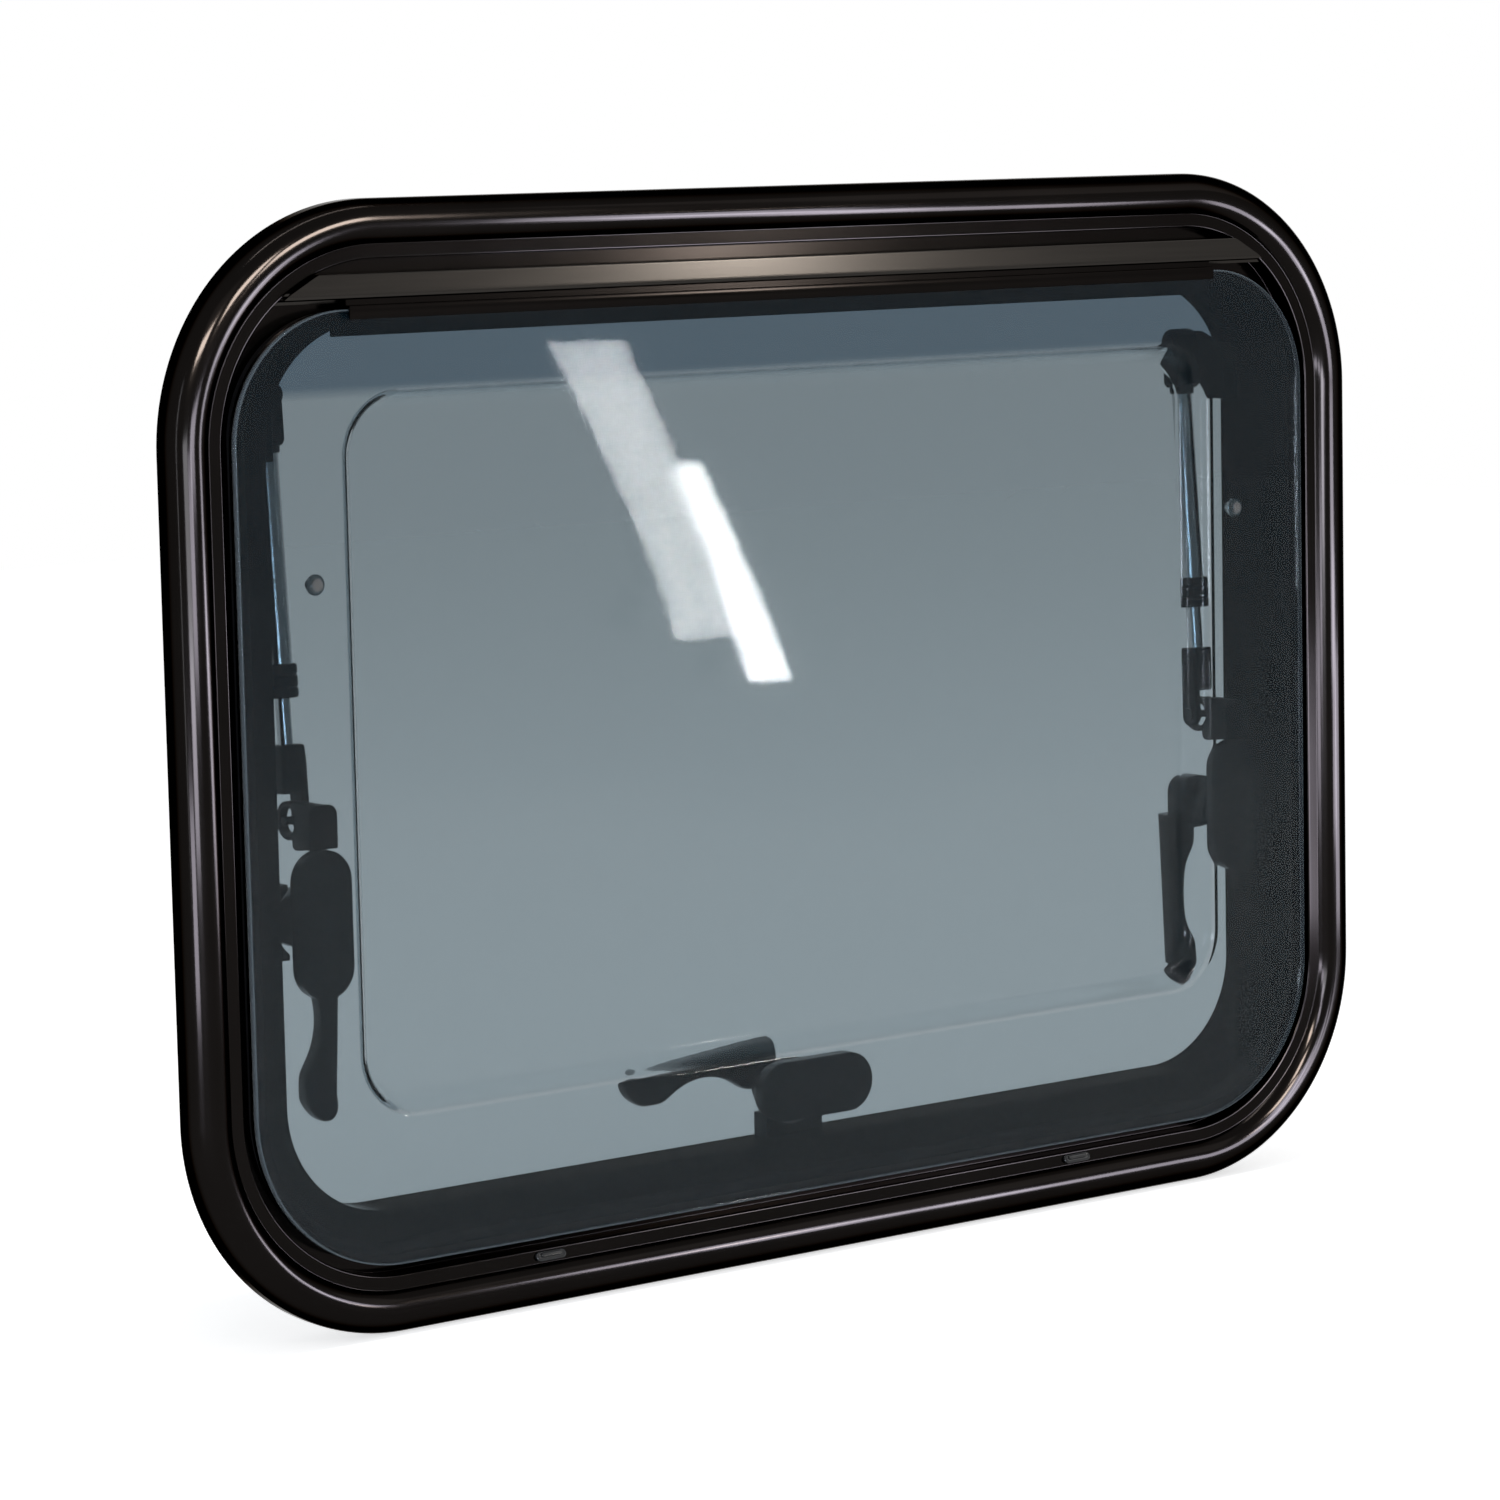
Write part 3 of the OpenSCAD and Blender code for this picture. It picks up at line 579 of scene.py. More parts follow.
class WINDOW_OT_hinge(bpy.types.Operator):
    """The hinge rail with its socket, and the sash's top rail with its bead"""
    bl_idname = "window.hinge"
    bl_label = "Hinge rails"

    def execute(self, context):
        s = context.scene.window_frame
        sock, hole, plate, high, foot = 4.0, 2.5, 1.4, 9.8, -1.0 - HINGE_Y
        neck = sock - plate
        section = np.concatenate([
            arc((0, 0), sock, -159, -180, 4),
            [[-sock, 1.0], [-sock, high - 1.2]],
            arc((-sock + 0.7, high - 0.7), 0.7, 180, 90, 6),
            [[-sock + 1.6, high], [foot - 1.0, high]],
            arc((foot - 0.4, high - 0.4), 0.4, 90, 0, 4),
            [[foot, high - 6], [foot - 2, high - 6], [foot - 2, high - plate], [-neck, high - plate]],
            arc((0, 0), sock, 180 - math.degrees(math.acos(neck / sock)), -66, 22),
            arc((0, 0), hole, -66, 201, 26),
        ])
        section = section + [HINGE_Y, HINGE_Z]
        # Each point reaches the frame's opening, a rounded rectangle: half width less radius, plus the
        # other side of the right triangle whose long side is the radius
        clear = s.face + 0.3
        r = s.corner - clear
        rise = np.clip(section[:, 1] - (s.top - s.corner), 0, r)
        reach = s.half_width - s.corner + np.sqrt(r * r - rise * rise)
        piece("hinge_extrusion", [along_x(section, reach)], "frame", ["hinge_rail"], "satin")
        bead, thin, web = 2.4, 0.8, -6.4
        dip = math.degrees(math.asin(thin / bead))
        back = PANE_HIGH[1] + 2.5 - HINGE_Y
        rail = np.concatenate([
            arc((0, 0), bead, -90 + dip, 270 - dip, 24),
            [[-thin, web + 1.5]],
            rounded_corner((-sock, web + 1.5), (-thin, web + 1.5), (-sock, web - 5), 0.6),
            [[-sock, web - 4.6], [-sock + 0.3, web - 5], [-sock + 1.0, web - 5], [-sock + 1.2, web - 4.8],
             [-sock + 1.2, web], [back, web], [back, web + 1.5], [thin, web + 1.5]],
        ]) + [HINGE_Y, HINGE_Z]
        ends = np.full(len(rail), box_mm("sash_rail")[1][0])
        piece("sash_top_rail", [along_x(rail, ends)], "sash", ["sash_rail"], "frame")
        # The black bonding tape behind the sheets' upper edge
        rim = PANE_HIGH[1] + 2.5
        tape = np.array([(rim - 0.03, 465.0), (rim + 0.15, 465.0), (rim + 0.15, 476.5), (rim - 0.03, 476.5)])
        piece("sash_bond_tape", [along_x(tape, np.full(4, 279.0))], "sash", [], "rubber")
        return {"FINISHED"}


def rounded_corner(corner, before, after, radius):
    """The arc of one corner between two sides."""
    return rounded([corner, after, before], [radius, 0.01, 0.01], 6)[1:7]


# Stations in one corner of a sheet
SHEET_STEPS = 36


def mark_edge_highlight(obj, factor):
    """Keeps, for each point, how much pale painted highlight it gets on the sheet's edge and bend."""
    values = obj.data.attributes.new("edge", "FLOAT", "POINT")
    values.data.foreach_set("value", factor.astype(np.float32))


class WINDOW_OT_sheets(bpy.types.Operator):
    """The two acrylic sheets of the sash: a flat outer one and an inner one with a drawn step"""
    bl_idname = "window.sheets"
    bl_label = "Acrylic sheets"

    def execute(self, context):
        s = context.scene.window_sash
        path = ring_path(s.half_width, s.bottom, s.top, s.corner_low, s.corner_high, SHEET_STEPS)
        self.outer(path)
        self.inner(s, path)
        return {"FINISHED"}

    def outer(self, path):
        """A flat sheet whose edge is a half-round of small radius, closed front and back by flat faces."""
        front, back, soft = PANE_LOW[1], PANE_HIGH[1] - 0.05, 1.0
        rows = np.concatenate([
            [[30.0, front], [soft + 0.3, front]],
            edge_rows(back - front, soft, front),
            [[soft + 0.3, back], [30.0, back]],
        ])
        grid = swept(path, rows)
        obj = piece("outer_sheet", [shell(grid, capped=True)], "sash",
                    ["outer_pane"], "outer")
        # Painted highlight on the rows of the rounded edge
        mark_edge_highlight(obj, np.repeat(0.6 * (rows[:, 0] < soft * 0.75), grid.shape[1]))

    def inner(self, s, path):
        """A rim, a step and a bowed middle, with one thickness throughout.

        The middle surface's depth follows a smooth S of the distance past the step's edge, and bows in
        the middle by the crown times one less each squared half-width share. The two faces lie half the
        thickness to either side, and a band of faces between them closes the rim.
        """
        rim_x, rim_low, rim_high, r, wide = 60.5, 67.5, 36.0, 34.0, 13.5
        hw, z0, z1 = s.half_width - rim_x, s.bottom + rim_low, s.top - rim_high
        step, step_in = ring_path(hw, z0, z1, r, r, SHEET_STEPS)
        thick, bond = 2.4, PANE_HIGH[1] + 0.05
        mid_y = bond + thick / 2
        # Rim rows run from the sash's edge to the step, then the step's rows run inwards
        rim = np.linspace(0, 1, 5)[:, None, None]
        rim_pts = path[0] * (1 - rim) + step * rim
        o = np.linspace(0.6, wide, 20)
        step_pts = step + o[:, None, None] * step_in
        w = o / wide
        lift = s.dome * w ** 3 * (10 - 15 * w + 6 * w * w)
        centre = np.array([0.0, (z0 + z1) / 2])
        k = np.array([0.985, 0.95, 0.9, 0.84, 0.77, 0.69, 0.6, 0.5, 0.4, 0.3, 0.2, 0.1, 0.02])
        last = step_pts[-1]
        mid_pts = centre + (last - centre) * k[:, None, None]
        pts = np.concatenate([rim_pts, step_pts, mid_pts])
        drawn = np.concatenate([np.zeros(5), lift, np.full(len(k), s.dome)])[:, None]
        share = (pts - centre) / [np.abs(last[:, 0]).max(), np.abs(last[:, 1] - centre[1]).max()]
        bow = np.clip(1 - share[..., 0] ** 2, 0, 1) * np.clip(1 - share[..., 1] ** 2, 0, 1)
        y = mid_y + drawn + s.crown * bow
        # The slope along the rows gives the direction in which the thickness is laid
        angle = np.arctan2(np.diff(y, axis=0), np.linalg.norm(np.diff(pts, axis=0), axis=2))
        slope = (np.concatenate([angle[:1], angle]) + np.concatenate([angle, angle[-1:]])) / 2
        shift = np.sin(slope)[..., None] * step_in * thick / 2
        drop = np.cos(slope) * thick / 2
        front, back = np.dstack([pts + shift, y - drop]), np.dstack([pts - shift, y + drop])
        grid = np.concatenate([front[::-1], back])[..., [0, 2, 1]]
        obj = piece("inner_sheet", [shell(grid, capped=True)], "sash",
                    ["inner_pane"], "inner", sharp=60.0)
        factor = np.zeros(grid.shape[:2])
        # Painted highlight on the two rows where the faces meet at the rim
        factor[len(pts) - 1:len(pts) + 1] = 0.6
        # Painted highlight on the upper bend of the drawn step, on the front face
        factor[len(pts) - 9:len(pts) - 7] = 0.5
        mark_edge_highlight(obj, factor.ravel())


def stay_frame(side):
    """Maps points hung from the upper pivot, on the right, to their place on either side."""
    def mapping(v):
        y = v[:, 1] * TILT_COS + v[:, 2] * TILT_SIN
        z = -v[:, 1] * TILT_SIN + v[:, 2] * TILT_COS
        return np.column_stack([side * (v[:, 0] + STAY_X), y + STAY_Y, z + STAY_Z])
    return mapping


STAY_X, STAY_Y, STAY_Z = 291.0, 34.0, 437.5
FOOT_Y, FOOT_Z = 20.0, 237.5
STAY_L = math.hypot(STAY_Y - FOOT_Y, STAY_Z - FOOT_Z)
TILT_SIN, TILT_COS = (STAY_Y - FOOT_Y) / STAY_L, (STAY_Z - FOOT_Z) / STAY_L


def side_block(x0, x1, outline, soft):
    """A block moulded from an outline in depth and height, lying between two values of x."""
    part = moulded(outline, edge_rows(x1 - x0, soft))
    return moved(part, lambda v: np.column_stack([v[:, 2] + x0, v[:, 0], v[:, 1]]))


class WINDOW_OT_stays(bpy.types.Operator):
    """The two telescopic stays: hangers, heads, tubes, grips, rods, shoes and eyes"""
    bl_idname = "window.stays"
    bl_label = "Stays"

    def execute(self, context):
        for name, side in SIDES.items():
            place = stay_frame(side)
            self.hanger(name, side)
            self.head(name, place)
            self.grip(name, place)
            self.shoe(name, place)
            self.eye(name, side)
            dress(f"stay_tube_{name}", "steel")
            dress(f"stay_rod_{name}", "steel")
        return {"FINISHED"}

    def flip(self, side):
        """Mirrors a right-hand piece for the left."""
        return lambda v: v * [side, 1, 1]

    def hanger(self, name, side):
        """A bracket on the frame's reveal: a foot block that follows its corner, an ear and the pivot with its
        head."""
        ear = STAY_X + 9.0
        foot = moulded(rounded([(ear, 407.5), (310.9, 407.5), (310.9, 416), (309.2, 428), (305.9, 437.5),
                                (ear, 437.5)], [1.2, 0.5, 8, 8, 0.8, 1.2], 6), edge_rows(13.0, 0.9))
        foot = moved(foot, lambda v: np.column_stack([v[:, 0], v[:, 2] + 10.0, v[:, 1]]))
        plate = side_block(ear, ear + 3.0, rounded(
            [(12, 408.5), (22.8, 407.7), (40, 432), (40, 443.5), (29, 443.5), (12, 436.8)],
            [1, 2, 5.6, 5.6, 5.6, 1], 8), 0.6)
        pivot = pin([[3.0, 0], [4.2, 0.0], [4.6, 0.4], [4.6, 1.2], [4.2, 1.6], [3.0, 1.6], [3.0, 19.2]], "x",
                    [STAY_X - 9.4, STAY_Y, STAY_Z])
        parts = [foot, plate, pivot]
        for lift in (7.5, 20.0):
            parts.append(pin([[2.3, -0.3], [2.3, 0.3], [1.9, 0.8], [0.9, 1.0]], "y",
                             [ear + 5.6, 23.0, 407.5 + lift], 28))
        piece(f"stay_hanger_{name}", parts, "frame", [f"stay_bracket_{name}"], "nylon",
              self.flip(side))

    def head(self, name, place):
        """The stay's fork head: a rounded block that narrows to a socket round the tube."""
        outline = rounded([(-7.5, 7.5), (7.5, 7.5), (7.5, -22), (5.5, -24), (-5.5, -24), (-7.5, -22)],
                          [7.3, 7.3, 1.5, 1.2, 1.2, 1.5], 10)
        block = side_block(-7.5, 7.5, outline, 2.2)
        sleeve = turned([[6.2, -27.5], [7.0, -27.0], [7.0, -24.0], [7.0, -22.0]])
        piece(f"stay_head_{name}", (block, sleeve), f"stay_{name}", [f"stay_top_end_{name}"],
              "nylon", place)

    def grip(self, name, place):
        """The black collar that closes the tube: a turned ring with two shallow grooves."""
        end = 142.5
        side = [[3.85, 0], [7.2, 0], [7.9, 0.8], [8.0, 4], [7.5, 4.6], [7.5, 5.4], [8.0, 6], [8.0, 10],
                [7.5, 10.6], [7.5, 11.4], [8.0, 12], [7.9, 15.2], [7.2, 16], [6.02, 16]]
        ring = turned(np.array(side) - [0, end])
        piece(f"stay_grip_{name}", [ring], f"stay_{name}", [f"stay_collar_{name}"], "nylon",
              place)

    def shoe(self, name, place):
        """The rod's shoe: a rounded block, a cheek beside the eye and the pin through it."""
        top = -STAY_L + 36
        block = side_block(-7, 7, rounded([(-7, top - 23.2), (7, top - 23.2), (7, top), (-7, top)],
                                          [3, 3, 2, 2], 8), 2.0)
        cheek = side_block(-7.5, -3.9, rounded([(-6, -STAY_L - 6), (6, -STAY_L - 6), (6, top - 4), (-6, top - 4)],
                                               [5.8, 5.8, 2, 2], 10), 0.9)
        axle = pin([[2.0, -7.0], [2.0, 4.2], [1.6, 4.5]], "x", [0, 0, -STAY_L], 28)
        button = pin([[3.4, -8.3], [3.8, -7.9], [3.8, -7.2]], "x", [0, 0, -STAY_L], 28)
        piece(f"stay_shoe_{name}", (block, cheek, axle, button), f"stay_rod_{name}",
              [f"stay_foot_{name}"], "nylon", place)

    def eye(self, name, side):
        """The sash's eye for the shoe's pin: a base plate, a web and a ring."""
        foot = box_mm("stay_lug_right")[0][2]
        rim = PANE_HIGH[1] + 2.5
        base = moulded(rounded([(STAY_X - 8, foot), (STAY_X + 8, foot), (STAY_X + 8, FOOT_Z + 9.8),
                                (STAY_X - 8, FOOT_Z + 9.8)], [1, 1, 5, 5], 8), edge_rows(3.0, 0.9))
        base = moved(base, lambda v: np.column_stack([v[:, 0], v[:, 2] + rim, v[:, 1]]))
        web = side_block(STAY_X - 2.5, STAY_X + 2.5, rounded(
            [(rim, foot), (FOOT_Y - 4, FOOT_Z - 14), (FOOT_Y - 4, FOOT_Z - 6), (FOOT_Y - 7.5, FOOT_Z),
             (FOOT_Y - 4, FOOT_Z + 6), (FOOT_Y - 4, FOOT_Z + 9.8), (rim, FOOT_Z + 9.8)],
            [0.5, 3, 1, 2, 1, 1, 1], 6), 0.8)
        a = np.linspace(0, 2 * np.pi, 56, endpoint=False)
        sect = rounded([(-2.5, 6.8), (2.5, 6.8), (2.5, 9.3), (-2.5, 9.3)], [0.5, 0.5, 0.8, 0.8], 5)
        grid = np.stack([
            np.broadcast_to(sect[None, :, 0], (len(a), len(sect))) + STAY_X,
            FOOT_Y + sect[None, :, 1] * np.cos(a)[:, None],
            FOOT_Z + sect[None, :, 1] * np.sin(a)[:, None],
        ], axis=-1)
        piece(f"stay_eye_{name}", (base, web, shell(grid)), "sash", [f"stay_lug_{name}"],
              "nylon", self.flip(side))


LATCH_Y = PANE_HIGH[1] + 2.5
SIDE_PIVOT = (286.0, 190.5)
BOTTOM_PIVOT = (0.0, 73.5)


def latch_frame(name):
    """Maps a latch's own axes to the window: its z points inwards and its y to the frame."""
    if name == "bottom":
        return lambda v: np.column_stack([v[:, 0], v[:, 2] + LATCH_Y, BOTTOM_PIVOT[1] - v[:, 1]])
    side = SIDES[name]
    return lambda v: np.column_stack([side * (v[:, 1] + SIDE_PIVOT[0]), v[:, 2] + LATCH_Y,
                                      v[:, 0] + SIDE_PIVOT[1]])


class WINDOW_OT_latches(bpy.types.Operator):
    """The three turning latches: plates, curved levers with their tongues, and pivot screws"""
    bl_idname = "window.latches"
    bl_label = "Latches"

    def execute(self, context):
        for name in ("left", "right", "bottom"):
            place = latch_frame(name)
            shift = -1.5 if name == "bottom" else 5.0
            self.plate(name, place, shift)
            self.lever(name, place)
            dress(f"pivot_screw_{name}", "steel")
            dress(f"keeper_{name}", "nylon")
        return {"FINISHED"}

    def plate(self, name, place, shift):
        """A slot-shaped plate with a crowned top, a raised boss and a post round the pivot."""
        soft = np.radians(np.linspace(0, 90, 7))
        rows = np.concatenate([
            [[0.4, 0.0], [0.0, 0.5], [0.0, 6.0]],
            np.column_stack([4.0 * (1 - np.cos(soft)), 6.0 + 4.0 * np.sin(soft)]),
            [[8.0, 10.4]],
        ])
        body = moulded(stadium(71.0, 30.0, (0.0, shift), 24), rows)
        post = turned([[10.0, 9.5], [9.2, 10.8], [8.2, 12.0], [8.0, 14.0], [8.0, 24.0]])
        piece(f"latch_plate_{name}", (body, post), "sash", [f"latch_base_{name}"], "latch", place)

    def lever(self, name, place):
        """A lever lofted along its length, and a hub that carries the tongue.

        At each station the section is a squared ellipse, whose edges are a straight outer line and an
        arc that is hollow towards the frame. Past the thumb end the section shrinks as a quarter round.
        """
        reach, end = 100.0, 12.0
        x = np.concatenate([np.linspace(-6, -(reach - end), 34), -(reach - end) - end * np.sin(
            np.radians(np.linspace(8, 89.5, 12)))])
        outer = -20.4 - 0.0494 * (x + 13)
        hollow = 30 - np.sqrt(np.clip(38.5 ** 2 - (x + 50) ** 2, 1, None))
        inner = 1.2 - np.log1p(np.exp((1.2 - hollow) / 1.2)) * 1.2
        inner = np.where(x > -24, np.minimum(inner, 1.2), inner)
        past = np.clip(-(x + (reach - end)) / end, 0, 1)
        shrink = np.sqrt(np.clip(1 - past ** 2, 0, 1))
        mid, half = (outer + inner) / 2, (inner - outer) / 2
        mid = mid - past * 4.0
        half = half * np.maximum(shrink, 0.02)
        thick = 6.0 - 1.1 * np.exp(-((x + 50) / 22) ** 2)
        thick = thick * np.maximum(shrink ** 0.6, 0.05)
        a = np.linspace(0, 2 * np.pi, 56, endpoint=False)
        power = 2 / 3.6
        cy = np.sign(np.cos(a)) * np.abs(np.cos(a)) ** power
        cz = np.sign(np.sin(a)) * np.abs(np.sin(a)) ** power
        grid = np.stack([
            np.broadcast_to(x[:, None], (len(x), len(a))),
            mid[:, None] + half[:, None] * cy,
            32.5 + thick[:, None] * cz,
        ], axis=-1)
        arm = shell(grid, capped=True)
        outline = rounded([(-9.5, 15.6), (-14, 4), (-14.5, -12), (14, -12), (14, 4), (9.5, 15.6)],
                          [3, 8, 9, 9, 8, 3], 10)
        hub = moved(moulded(outline, edge_rows(14.0, 1.6)), lambda v: v + [0, 0, 24.5])
        piece(f"latch_lever_{name}", (arm, hub), f"latch_{name}", [f"latch_handle_{name}"],
              "latch", place)


class WINDOW_OT_fittings(bpy.types.Operator):
    """The drain hoods in the frame's face and the breather plugs in the inner sheet"""
    bl_idname = "window.fittings"
    bl_label = "Small fittings"

    def execute(self, context):
        # A hood is a slot shape with a low crowned rim and a lip, laid on the frame's land
        low, high = box_mm("drain_cap_right")
        mid = (low + high) / 2
        lean = math.radians(65.65)
        for name, side in SIDES.items():
            rows = np.array([[0.0, -0.7], [0.0, 0.5], [0.25, 0.8], [0.8, 0.95], [1.2, 0.75], [1.8, 0.7]])
            hood = moulded(stadium(17.6, 4.8, steps=14), rows)
            lip = moved(moulded(stadium(12.0, 2.0, steps=12), edge_rows(1.0, 0.4)), lambda v: v + [0, 0.4, 0.5])

            def lay(v, side=side):
                y = v[:, 1] * math.cos(lean) - v[:, 2] * math.sin(lean)
                z = v[:, 1] * math.sin(lean) + v[:, 2] * math.cos(lean)
                return np.column_stack([side * mid[0] + v[:, 0], mid[1] + y, mid[2] + z])
            piece(f"drain_hood_{name}", (hood, lip), "frame", [f"drain_cap_{name}"], "latch", lay)
            plug_low, plug_high = box_mm(f"breather_plug_{name}")
            cx, _, cz = (plug_low + plug_high) / 2
            stem = pin([[2.9, 0.0], [2.9, 2.4], [4.6, 2.5], [5.0, 2.9], [5.0, 4.0], [4.6, 4.5], [3.2, 4.6],
                        [3.0, 5.0], [2.9, 7.8], [2.5, 8.4], [1.4, 8.5]], "y", [cx, plug_low[1], cz], 40)
            piece(f"breather_{name}", [stem], "sash", [f"breather_plug_{name}"], "steel")
        return {"FINISHED"}


# The stage: half of the floor's side in metres, how bright the floor and the surroundings are, the glowing
# bands' depth and steps, and how far the camera aims from the frame's middle, to the right and downwards
FLOOR_REACH = 4.0
FLOOR_GLOW = 0.62
AMBIENT = 0.45
BAND_Y = -1.6
BAND_STEPS = 25
AIM_OFF = (0.0249, -0.0135)


class WINDOW_OT_stage(bpy.types.Operator):
    """The floor, the lamps, the world and the camera"""
    bl_idname = "window.stage"
    bl_label = "Stage"

    def execute(self, context):
        self.floor()
        self.lamps()
        self.world()
        self.camera(context.scene.window_stage)
        context.scene.view_settings.view_transform = "Standard"
        return {"FINISHED"}

    def floor(self):
        """A flat white floor under the window."""
        z, n = FRAME_LOW[2] * MM, FLOOR_REACH
        mesh = bpy.data.meshes.new("floor")
        mesh.from_pydata([(-n, -n, z), (n, -n, z), (n, n, z), (-n, n, z)], [], [(0, 1, 2, 3)])
        mat, tree, shader, _ = finish("painted_floor", Roughness=0.9, Specular_IOR_Level=0.1)
        shader.inputs["Base Color"].default_value = linear("e6e6e6")
        seen = seen_rays(tree)
        strength = add(tree, "ShaderNodeMath", {0: seen, 1: FLOOR_GLOW}, operation="MULTIPLY")
        shader.inputs["Emission Color"].default_value = (1, 1, 1, 1)
        tree.links.new(strength.outputs["Value"], shader.inputs["Emission Strength"])
        mesh.materials.append(mat)
        linked("floor", mesh)

    def lamps(self):
        """Soft boxes: name, place, aim, width, height, power in watts, colour and the pieces that they light, or
        all; and two bent tubes, which only the outer sheet mirrors."""
        crest, right_corner, left_corner = (-0.36, 0, 0.3), (0.35, 0, 0.48), (-0.33, 0, 0.48)
        everything, only_frame = (), ("frame_extrusion",)
        warm, cool, plain, blue = (1.0, 0.93, 0.86), (0.78, 0.88, 1.0), (1.0, 1.0, 1.0), (0.75, 0.8, 1.0)
        boxes = (
            ("key", (-1.5, -2.0, 2.0), (0, 0, 0.25), 1.5, 1.5, 5.0, plain, everything),
            ("fill", (2.2, -1.6, 1.9), (0, 0, 0.25), 1.2, 1.2, 6.0, plain, everything),
            ("top", (0.0, -0.3, 2.2), (0, 0, 0.25), 1.5, 0.06, 10.0, plain, everything),
            ("post", (1.17, -1.6, 0.53), (0, 0, 0.5), 0.09, 0.18, 4.5, warm, everything),
            ("front", (-1.45, -1.95, 0.25), (-0.3, 0, 0.25), 0.8, 0.4, 30.0, cool, everything),
            ("side", (-1.9, -0.5, 0.5), (0, 0, 0.25), 0.06, 1.2, 5.0, cool, everything),
            ("crest_1", (-0.29, -0.91, 0.41), crest, 0.3, 0.14, 8.0, blue, only_frame),
            ("crest_2", (-0.50, -0.91, 0.29), crest, 0.3, 0.14, 8.0, blue, only_frame),
            ("crest_3", (-0.83, -0.77, 0.17), crest, 0.3, 0.14, 8.0, blue, only_frame),
            ("crest_4", (-1.10, -0.50, 0.07), crest, 0.3, 0.14, 8.0, blue, only_frame),
            ("corner_1", (0.68, -0.58, 0.11), right_corner, 0.24, 0.2, 9.0, blue, only_frame),
            ("corner_2", (0.54, -0.67, 0.17), right_corner, 0.24, 0.2, 9.0, blue, only_frame),
            ("corner_3", (0.46, -0.70, 0.28), right_corner, 0.24, 0.2, 9.0, blue, only_frame),
            ("arch_1", (0.5, -1.6, 1.02), left_corner, 0.5, 0.3, 60.0, warm, only_frame),
            ("arch_2", (-0.15, -1.6, 1.2), left_corner, 0.5, 0.3, 60.0, warm, only_frame),
            ("arch_3", (-1.2, -1.5, 1.35), left_corner, 0.6, 0.3, 70.0, warm, only_frame),
        )
        for name, place, aim, wide, high, watts, tint, only in boxes:
            data = bpy.data.lights.new(name, "AREA")
            data.shape = "RECTANGLE"
            data.size, data.size_y, data.energy, data.color = wide, high, watts, tint
            z = np.array(place) - np.array(aim)
            z = z / np.linalg.norm(z)
            x = np.cross([0, 0, 1], z)
            x /= np.linalg.norm(x)
            obj = linked(name, data, axes_matrix(x, np.cross(z, x), z, place))
            obj.visible_camera = False
            self.light_only(obj, only)
        self.band("bright_band", [(1.108, 0.266), (1.168, 0.146), (1.201, 0.066)], (0.038, 0.046), 300.0)
        self.band("soft_band", [(1.007, 0.377), (1.088, 0.222), (1.128, 0.11)], (0.08, 0.06), 105.0)

    def light_only(self, lamp, names):
        """Keeps a lamp's light to the named pieces, where there are any."""
        if names:
            group = bpy.data.collections.new(lamp.name + "_lights")
            for name in names:
                group.objects.link(bpy.data.objects[name])
            lamp.light_linking.receiver_collection = group

    def band(self, name, places, widths, strength):
        """A glowing band whose centre line is the parabola through three places, in x and z."""
        t = np.linspace(0, 1, BAND_STEPS)[:, None]
        a, b, c = np.array(places)
        line = a * (1 - t) * (1 - 2 * t) + b * 4 * t * (1 - t) + c * t * (2 * t - 1)
        half = (widths[0] + (widths[1] - widths[0]) * t[:, 0]) / 2
        x = np.column_stack([line[:, 0] - half, line[:, 0] + half])
        z = np.column_stack([line[:, 1], line[:, 1]])
        verts = np.stack([x, np.full_like(x, BAND_Y), z], axis=-1).reshape(-1, 3)
        mesh = bpy.data.meshes.new(name)
        mesh.from_pydata(verts.tolist(), [], quads(BAND_STEPS, 2, False, False).tolist())
        mat = bpy.data.materials.new(name)
        mat.use_nodes = True
        mat.node_tree.nodes.clear()
        glow = add(mat.node_tree, "ShaderNodeEmission", {"Color": (0.93, 0.97, 1.0, 1.0), "Strength": strength})
        add(mat.node_tree, "ShaderNodeOutputMaterial", {"Surface": glow.outputs[0]})
        mesh.materials.append(mat)
        obj = linked(name, mesh)
        obj.visible_camera = False
        self.light_only(obj, ("outer_sheet",))

    def world(self):
        """White at strength 1 where it is seen, and a plain ambient level elsewhere."""
        world = bpy.data.worlds.new("studio")
        world.use_nodes = True
        tree = world.node_tree
        tree.nodes.clear()
        ambient = add(tree, "ShaderNodeBackground", {"Color": (1, 1, 1, 1), "Strength": AMBIENT})
        white = add(tree, "ShaderNodeBackground", {"Color": (1, 1, 1, 1), "Strength": 1.0})
        mix = add(tree, "ShaderNodeMixShader", {0: seen_rays(tree), 1: ambient.outputs[0], 2: white.outputs[0]})
        add(tree, "ShaderNodeOutputWorld", {"Surface": mix.outputs[0]})
        bpy.context.scene.world = world

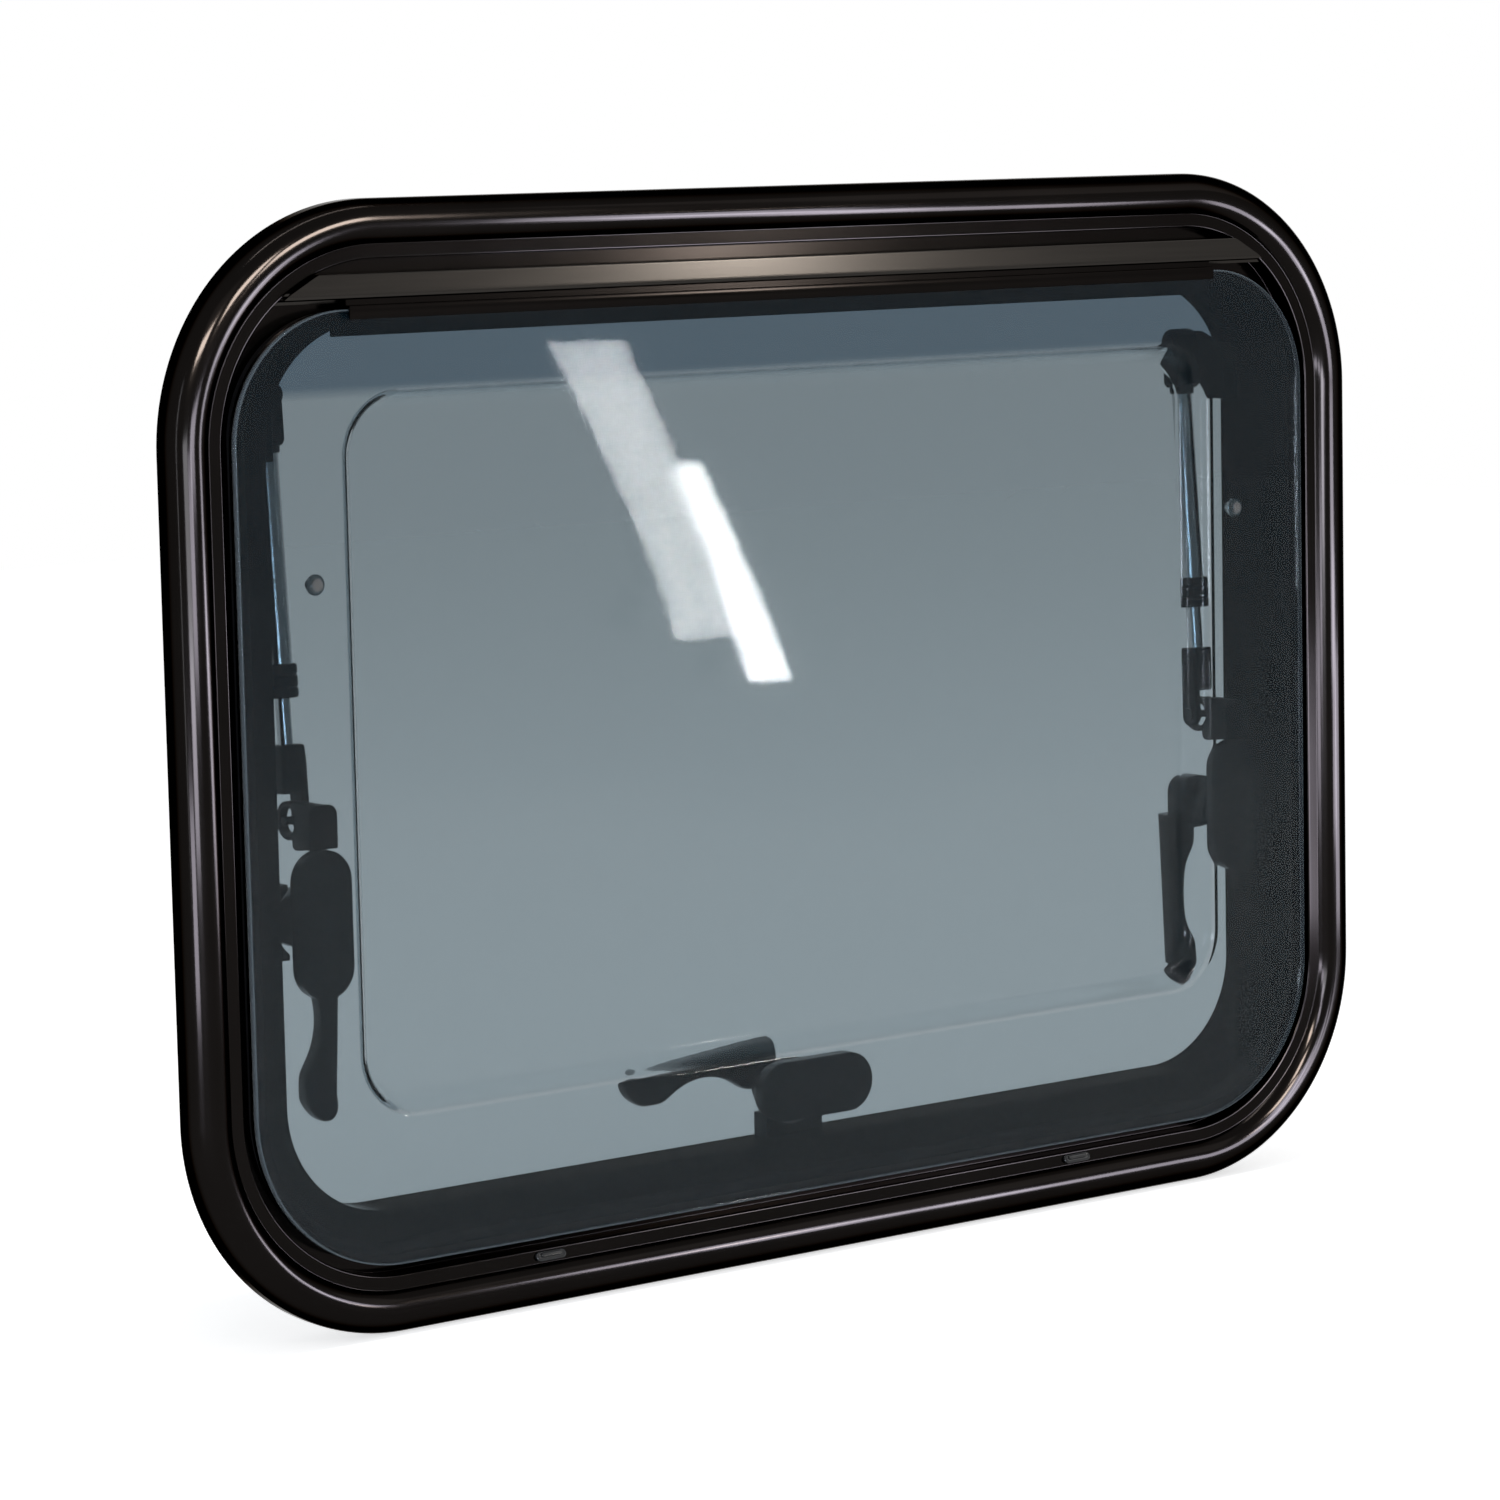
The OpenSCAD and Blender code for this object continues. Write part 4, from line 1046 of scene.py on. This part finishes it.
    def camera(self, s):
        """The camera's three axes come from turning about the window's height, then tilting, then rolling."""
        ca, sa = math.cos(s.azimuth), math.sin(s.azimuth)
        ce, se = math.cos(s.elevation), math.sin(s.elevation)
        cr, sr = math.cos(s.roll), math.sin(s.roll)
        turn = np.array([[ca, 0, sa], [0, 1, 0], [-sa, 0, ca]])
        tilt = np.array([[1, 0, 0], [0, ce, -se], [0, se, ce]])
        spin = np.array([[cr, -sr, 0], [sr, cr, 0], [0, 0, 1]])
        full = spin @ tilt @ turn
        axes = np.column_stack([full[:, 0], full[:, 2], -full[:, 1]])
        right, down, ahead = axes
        aim = np.array([0, 0, FRAME_MID_Z * MM])
        place = aim - right * AIM_OFF[0] - down * AIM_OFF[1] - ahead * s.distance
        data = bpy.data.cameras.new("camera")
        data.sensor_width = 36.0
        data.lens = s.lens
        data.clip_end = 50.0
        bpy.context.scene.camera = linked("camera", data, axes_matrix(right, -down, -ahead, place))


def seen_rays(tree):
    """One for a camera, glossy or transmission ray, and nought otherwise."""
    path = add(tree, "ShaderNodeLightPath")
    first = add(tree, "ShaderNodeMath", {0: path.outputs["Is Camera Ray"], 1: path.outputs["Is Glossy Ray"]},
                operation="MAXIMUM")
    return add(tree, "ShaderNodeMath", {0: first.outputs[0], 1: path.outputs["Is Transmission Ray"]},
               operation="MAXIMUM").outputs[0]


class WINDOW_PT_panel(bpy.types.Panel):
    """Lists the window's operators and settings"""
    bl_idname = "WINDOW_PT_panel"
    bl_label = "Caravan window"
    bl_space_type = "VIEW_3D"
    bl_region_type = "UI"
    bl_category = "Window"

    def draw(self, context):
        for group in (context.scene.window_frame, context.scene.window_sash, context.scene.window_looks,
                      context.scene.window_stage):
            for key in group.__annotations__:
                self.layout.prop(group, key)
        for operator in OPERATORS:
            self.layout.operator(operator.bl_idname)


GROUPS = {
    "window_frame": WINDOW_PG_frame,
    "window_sash": WINDOW_PG_sash,
    "window_looks": WINDOW_PG_looks,
    "window_stage": WINDOW_PG_stage,
}
OPERATORS = (WINDOW_OT_frame, WINDOW_OT_seal, WINDOW_OT_hinge, WINDOW_OT_sheets,
             WINDOW_OT_stays, WINDOW_OT_latches, WINDOW_OT_fittings, WINDOW_OT_stage)


def register():
    for cls in (*GROUPS.values(), *OPERATORS, WINDOW_PT_panel):
        bpy.utils.register_class(cls)
    for key, group in GROUPS.items():
        setattr(bpy.types.Scene, key, PointerProperty(type=group))


def unregister():
    for key in GROUPS:
        delattr(bpy.types.Scene, key)
    for cls in (WINDOW_PT_panel, *reversed(OPERATORS), *GROUPS.values()):
        bpy.utils.unregister_class(cls)


def main():
    """Registers the add-on, makes the finishes and builds every piece in order."""
    register()
    make_materials()
    for operator in OPERATORS:
        group, name = operator.bl_idname.split(".")
        getattr(getattr(bpy.ops, group), name)()


if __name__ == "__main__":
    main()
